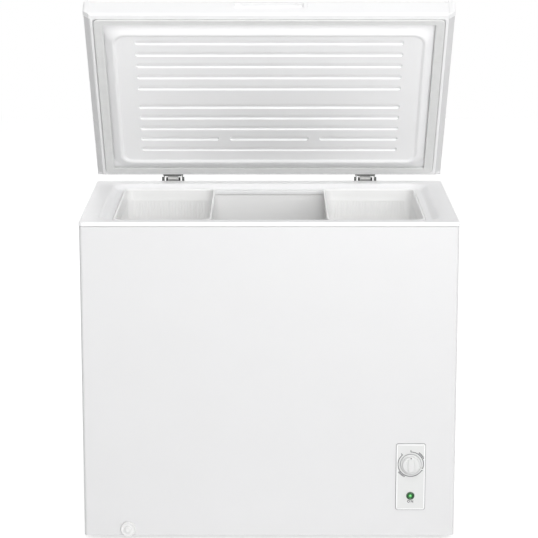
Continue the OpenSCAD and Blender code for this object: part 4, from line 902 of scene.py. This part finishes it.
knob = turned("knob_moulding", [
    (20, 0.5), (25.4, 0.5), (26, 1.1), (26, 2.6), (25.6, 3.2), (24.8, 3.6), (23.4, 3.6),
    (22.8, 3.9), (22.6, 4.6), (22.2, 9.4), (21.6, 11.2), (20.4, 12.4), (18.8, 12.9), (15, 13.0),
    (6, 13.0)], 96)
grip = framed("grip", eased([
    (-9.6, 8.6, -17.2, 17.2, 5, 11), (-8.8, 8.4, -16.8, 16.8, 4.6, 13.4),
    (-7.2, 8.1, -16.2, 16.2, 4, 15.8), (-5.2, 6.8, -15.0, 15.0, 3, 16.3)], {2: 0.9}), arc=6)
carve(knob, grip, "UNION")
carve(knob, block("grip_line", 8.9, 10.0, -16, 16, 11.4, 14))
on_front(knob, panel_x, knob_z, plate_y)
fitted(knob, "knob", "panel_plastic", "thermostat_knob")

# painted shade: a dark ring round the knob's foot, standing for the shadow in the gap there
ring = turned("knob_gap_shade", [(26.2, 0.3), (27.2, 0.3), (27.2, 0.55), (26.2, 0.55)], 96,
              joined=True)
on_front(ring, panel_x, knob_z, plate_y)
fitted(ring, "cabinet", "grey_wire", finish="gap_shade_grey")
pointer = turned("knob_pointer", [(1.6, 12.6), (1.6, 13.1), (1.4, 13.2)], 24)
on_front(pointer, panel_x, knob_z + POINTER_REACH, plate_y)
fitted(pointer, "knob", "black_plastic", finish="dark_ink")


def arc_mark(radius, width, start, sweep):
    """A printed arc: a thin bar swept about the knob's axis, clockwise from an angle above +X."""
    only()
    bpy.ops.mesh.primitive_plane_add(size=1, location=(radius * MM, 0, 0.05 * MM),
                                     rotation=(math.radians(90), 0, 0))
    bar = named("arc_mark")
    bar.scale = (width * MM, 0.16 * MM, 1)
    bpy.ops.object.transform_apply(location=True, rotation=True, scale=True)
    bpy.ops.object.mode_set(mode="EDIT")
    bpy.ops.mesh.select_all(action="SELECT")
    bpy.ops.mesh.spin(steps=max(2, round(abs(sweep) / 4)), angle=-math.radians(sweep),
                      center=(0, 0, 0), axis=(0, 0, 1))
    bpy.ops.mesh.select_all(action="SELECT")
    bpy.ops.mesh.normals_make_consistent(inside=False)
    done(bar)
    return placed(bar, Matrix.Rotation(math.radians(start), 4, "Z"))


def tick_mark(radius, length, width, angle):
    """A printed dash that points away from the knob's axis."""
    bar = block("tick_mark", radius, radius + length, -width / 2, width / 2, -0.03, 0.13)
    return placed(bar, Matrix.Rotation(math.radians(angle), 4, "Z"))


marks = [arc_mark(MARK_RADIUS, MARK_WIDTH, -20, 110), arc_mark(MARK_RADIUS, MARK_WIDTH, 131, 199),
         tick_mark(32.0, 5.4, MARK_WIDTH, 90), tick_mark(29.0, 4.2, MARK_WIDTH, -20),
         tick_mark(32.0, 3.4, MARK_WIDTH, -30), tick_mark(32.0, 5.6, MARK_WIDTH, 131)]
marks += [tick_mark(34.0, 4.2, 1.9, middle + step) for middle in SCALE_MIDDLES
          for step in SCALE_STEPS]
dial = joined_pieces(marks)
dial.name = dial.data.name = "dial_marks"
on_front(dial, panel_x, knob_z, plate_y + PRINT)
fitted(dial, "cabinet", "black_plastic", finish="dark_ink")

only()
bpy.ops.object.text_add()
label = bpy.context.object
label.data.body = "ON"
label.data.size = 8.8 * MM
label.data.align_x = label.data.align_y = "CENTER"
label.data.space_character = 1.4
label.data.offset = 0.28 * MM
label.data.extrude = 0.08 * MM
bpy.ops.object.convert(target="MESH")
label = named("lamp_label")
bpy.ops.object.mode_set(mode="EDIT")
bpy.ops.mesh.select_all(action="SELECT")
bpy.ops.mesh.remove_doubles(threshold=0.001 * MM)
done(label)
on_front(label, panel_x, lens_z - LABEL_DROP, plate_y + PRINT)
fitted(label, "cabinet", "black_plastic", finish="dark_ink")

lens = turned("indicator_bezel", [
    (4.8, 0.6), (5.2, 1.3), (6.6, 2.4), (8.4, 2.4), (9.7, 1.7), (10.4, 0.9), (10.5, 0.0), (6, 0.0),
    (6, -10.6), (4.1, -10.6), (4.1, 0.0)], 64, joined=True)
on_front(lens, panel_x, lens_z, plate_y)
fitted(lens, "cabinet", "green_lens", "indicator_lens", angle=50)
lamp = turned("indicator_dome", [
    (4.0, -21), (4.0, 0.2), (3.8, 0.9), (3.2, 1.5), (2.2, 1.9), (1.0, 2.1), (0.3, 2.14)], 48)
on_front(lamp, panel_x, lens_z, plate_y)
fitted(lamp, "cabinet", "green_lamp", "indicator_lamp", angle=50)


# ---- Drain ----

drain_cap = turned("drain_cap_moulding", [
    (6.9, -20), (7.7, -19.2), (7.9, -12), (7.9, 0.3), (18.9, 0.3), (19.5, 0.9), (19.5, 5.2),
    (19.1, 6.3), (18.0, 7.0), (16.8, 7.0), (16.0, 6.5), (15.2, 5.4), (13.8, 5.0), (9.6, 5.0),
    (8.8, 5.6), (8.2, 8.6), (7.6, 9.5), (6.6, 10), (4.4, 10), (3.6, 9.4), (1.2, 9.1)], 72)
on_front(drain_cap, middle_of("drain_cap", "x"), middle_of("drain_cap", "z"))
fitted(drain_cap, "drain_cap", "white_plastic", "drain_cap", angle=40, finish="cap_plastic")


# ---- Pieces that keep the shape of their solids ----

kept_shapes = [  # piece, the solid it copies, how far its edges are eased, its body
    ("cabinet_shell", "cabinet_wrap", 0, "cabinet"),
    ("tub_liner", "inner_liner", 0.4, "cabinet"),
    ("rear_sheet", "rear_panel", 0, "cabinet"),
    ("base_tray", "base_pan", 0.3, "cabinet"),
    ("levelling_feet", "feet", 1.0, "cabinet"),
    ("bay_shield", "compressor_bay_shield", 0.3, "cabinet"),
    ("compressor_rails", "compressor_plate", 0.6, "cabinet"),
    ("compressor_shell", "compressor", 1.0, "cabinet"),
    ("rubber_grommets", "compressor_grommets", 0.8, "cabinet"),
    ("mounting_bolts", "compressor_bolts", 0.5, "cabinet"),
    ("relay_cover", "start_relay_cover", 2.0, "cabinet"),
    ("dryer_shell", "filter_dryer", 0, "cabinet"),
    ("suction_pipe", "suction_tube", 0, "cabinet"),
    ("discharge_pipe", "discharge_tube", 0, "cabinet"),
    ("condenser_pipe", "condenser_tube", 0, "cabinet"),
    ("evaporator_pipe", "evaporator_tube", 0, "cabinet"),
    ("capillary_pipe", "capillary_tube", 0, "cabinet"),
    ("sensing_bulb", "thermostat_bulb", 0, "cabinet"),
    ("thermostat_case", "thermostat_body", 0.8, "cabinet"),
    ("thermostat_spindle", "thermostat_shaft", 0.3, "knob"),
    ("wiring", "wire_harness", 0, "cabinet"),
    ("gland_moulding", "cord_gland", 0.6, "cabinet"),
    ("drain_pipe", "drain_tube", 0, "cabinet"),
    ("tub_plug", "floor_drain_plug", 0.5, "floor_plug"),
    ("grille_moulding", "rear_grille", 0.6, "cabinet"),
    ("rear_sheet_screws", "rear_panel_screws", 0.4, "cabinet"),
    ("bracket_screws", "hinge_bracket_screws", 0.4, "cabinet"),
    ("leaf_screws", "hinge_leaf_screws", 0.4, "lid"),
]
for side in ("left", "right"):
    kept_shapes += [
        (f"pin_{side}", f"hinge_pin_{side}", 0.4, "cabinet"),
        (f"leaf_{side}", f"hinge_leaf_{side}", 0.3, "lid"),
        (f"follower_{side}", f"hinge_follower_{side}", 0.4, f"hinge_follower_{side}")]
slot_of = {part["node"]: part["material_slot"] for part in frame["record"]["subparts"]}
for name, node, width, body in kept_shapes:
    fitted(eased_copy(name, node, width), body, slot_of[node], node)

REAR_TUCK = 1.8  # how far the rear sheet's top edge goes up to meet the collar
rear_sheet = bpy.data.objects["rear_sheet"]
pick(rear_sheet, "FACE", lambda p, n: n.z > 0.9 and p.z > top - 14)
bpy.ops.transform.translate(value=(0, 0, REAR_TUCK * MM))
done(rear_sheet)


# ---- Hinges: what their CAD solids leave out ----

EAR_X, SHADE_BLOCK_X = 28.4, 17.2  # from the middle of a hinge
CAM_HALF, CAM_START = 14.3, 6.2  # half its width, and how far from the pin it starts
# blocks beside a pin: half the width, then the spans in Y and in Z from the pin
FLANGE = (2.6, (-6.4, -4.6), (-25, -7))
LEAF_LIP = (23.4, (-13.4, -11.8), (-4.2, 0.9))
# painted shade: black blocks in the gaps beside the cam, standing for the shadow there
SHADE_BLOCK = (2.5, (-6.6, 6.6), (-25, -9.6))

pin_y, pin_z = pin.y / MM, pin.z / MM


def by_pin(name, x, half_width, span_y, span_z):
    """A block beside a hinge pin."""
    return block(name, x - half_width, x + half_width,
                 *(pin_y + y for y in span_y), *(pin_z + z for z in span_z))


for side in ("left", "right"):
    hinge_x = middle_of(f"hinge_pin_{side}", "x")

    bracket = eased_copy(f"bracket_{side}", f"hinge_bracket_{side}", 0)
    for way in (-1, 1):
        carve(bracket, by_pin("flange", hinge_x + way * EAR_X, *FLANGE), "UNION")
    soften(bracket, 0.35)
    fitted(bracket, "cabinet", slot_of[f"hinge_bracket_{side}"], f"hinge_bracket_{side}")

    knuckle = turned(f"rolled_knuckle_{side}", [
        (3.1, -22.6), (6.2, -22.6), (6.6, -22.2), (6.6, 22.2), (6.2, 22.6), (3.1, 22.6)], 48,
        joined=True)
    along_x = Matrix.Rotation(math.radians(90), 4, "Y")
    placed(knuckle, Matrix.Translation((hinge_x * MM, pin.y, pin.z)) @ along_x)
    fitted(knuckle, "lid", "hinge_steel")

    part_finish(bpy.data.objects[f"leaf_{side}"], "cam_steel", lambda p: (
        abs(p.x - hinge_x) < CAM_HALF and p.z < pin_z
        and math.hypot(p.y - pin_y, p.z - pin_z) > CAM_START))

    lip = by_pin(f"leaf_lip_{side}", hinge_x, *LEAF_LIP)
    soften(lip, 0.4)
    fitted(lip, "lid", "hinge_steel")

    # painted shade: the black blocks beside the cam stand for the shadow in those gaps
    shade_blocks = joined_pieces([by_pin(f"gap_shade_blocks_{side}", hinge_x + way * SHADE_BLOCK_X, *SHADE_BLOCK)
                            for way in (-1, 1)])
    soften(shade_blocks, 0.8)
    fitted(shade_blocks, f"hinge_follower_{side}", "black_plastic")
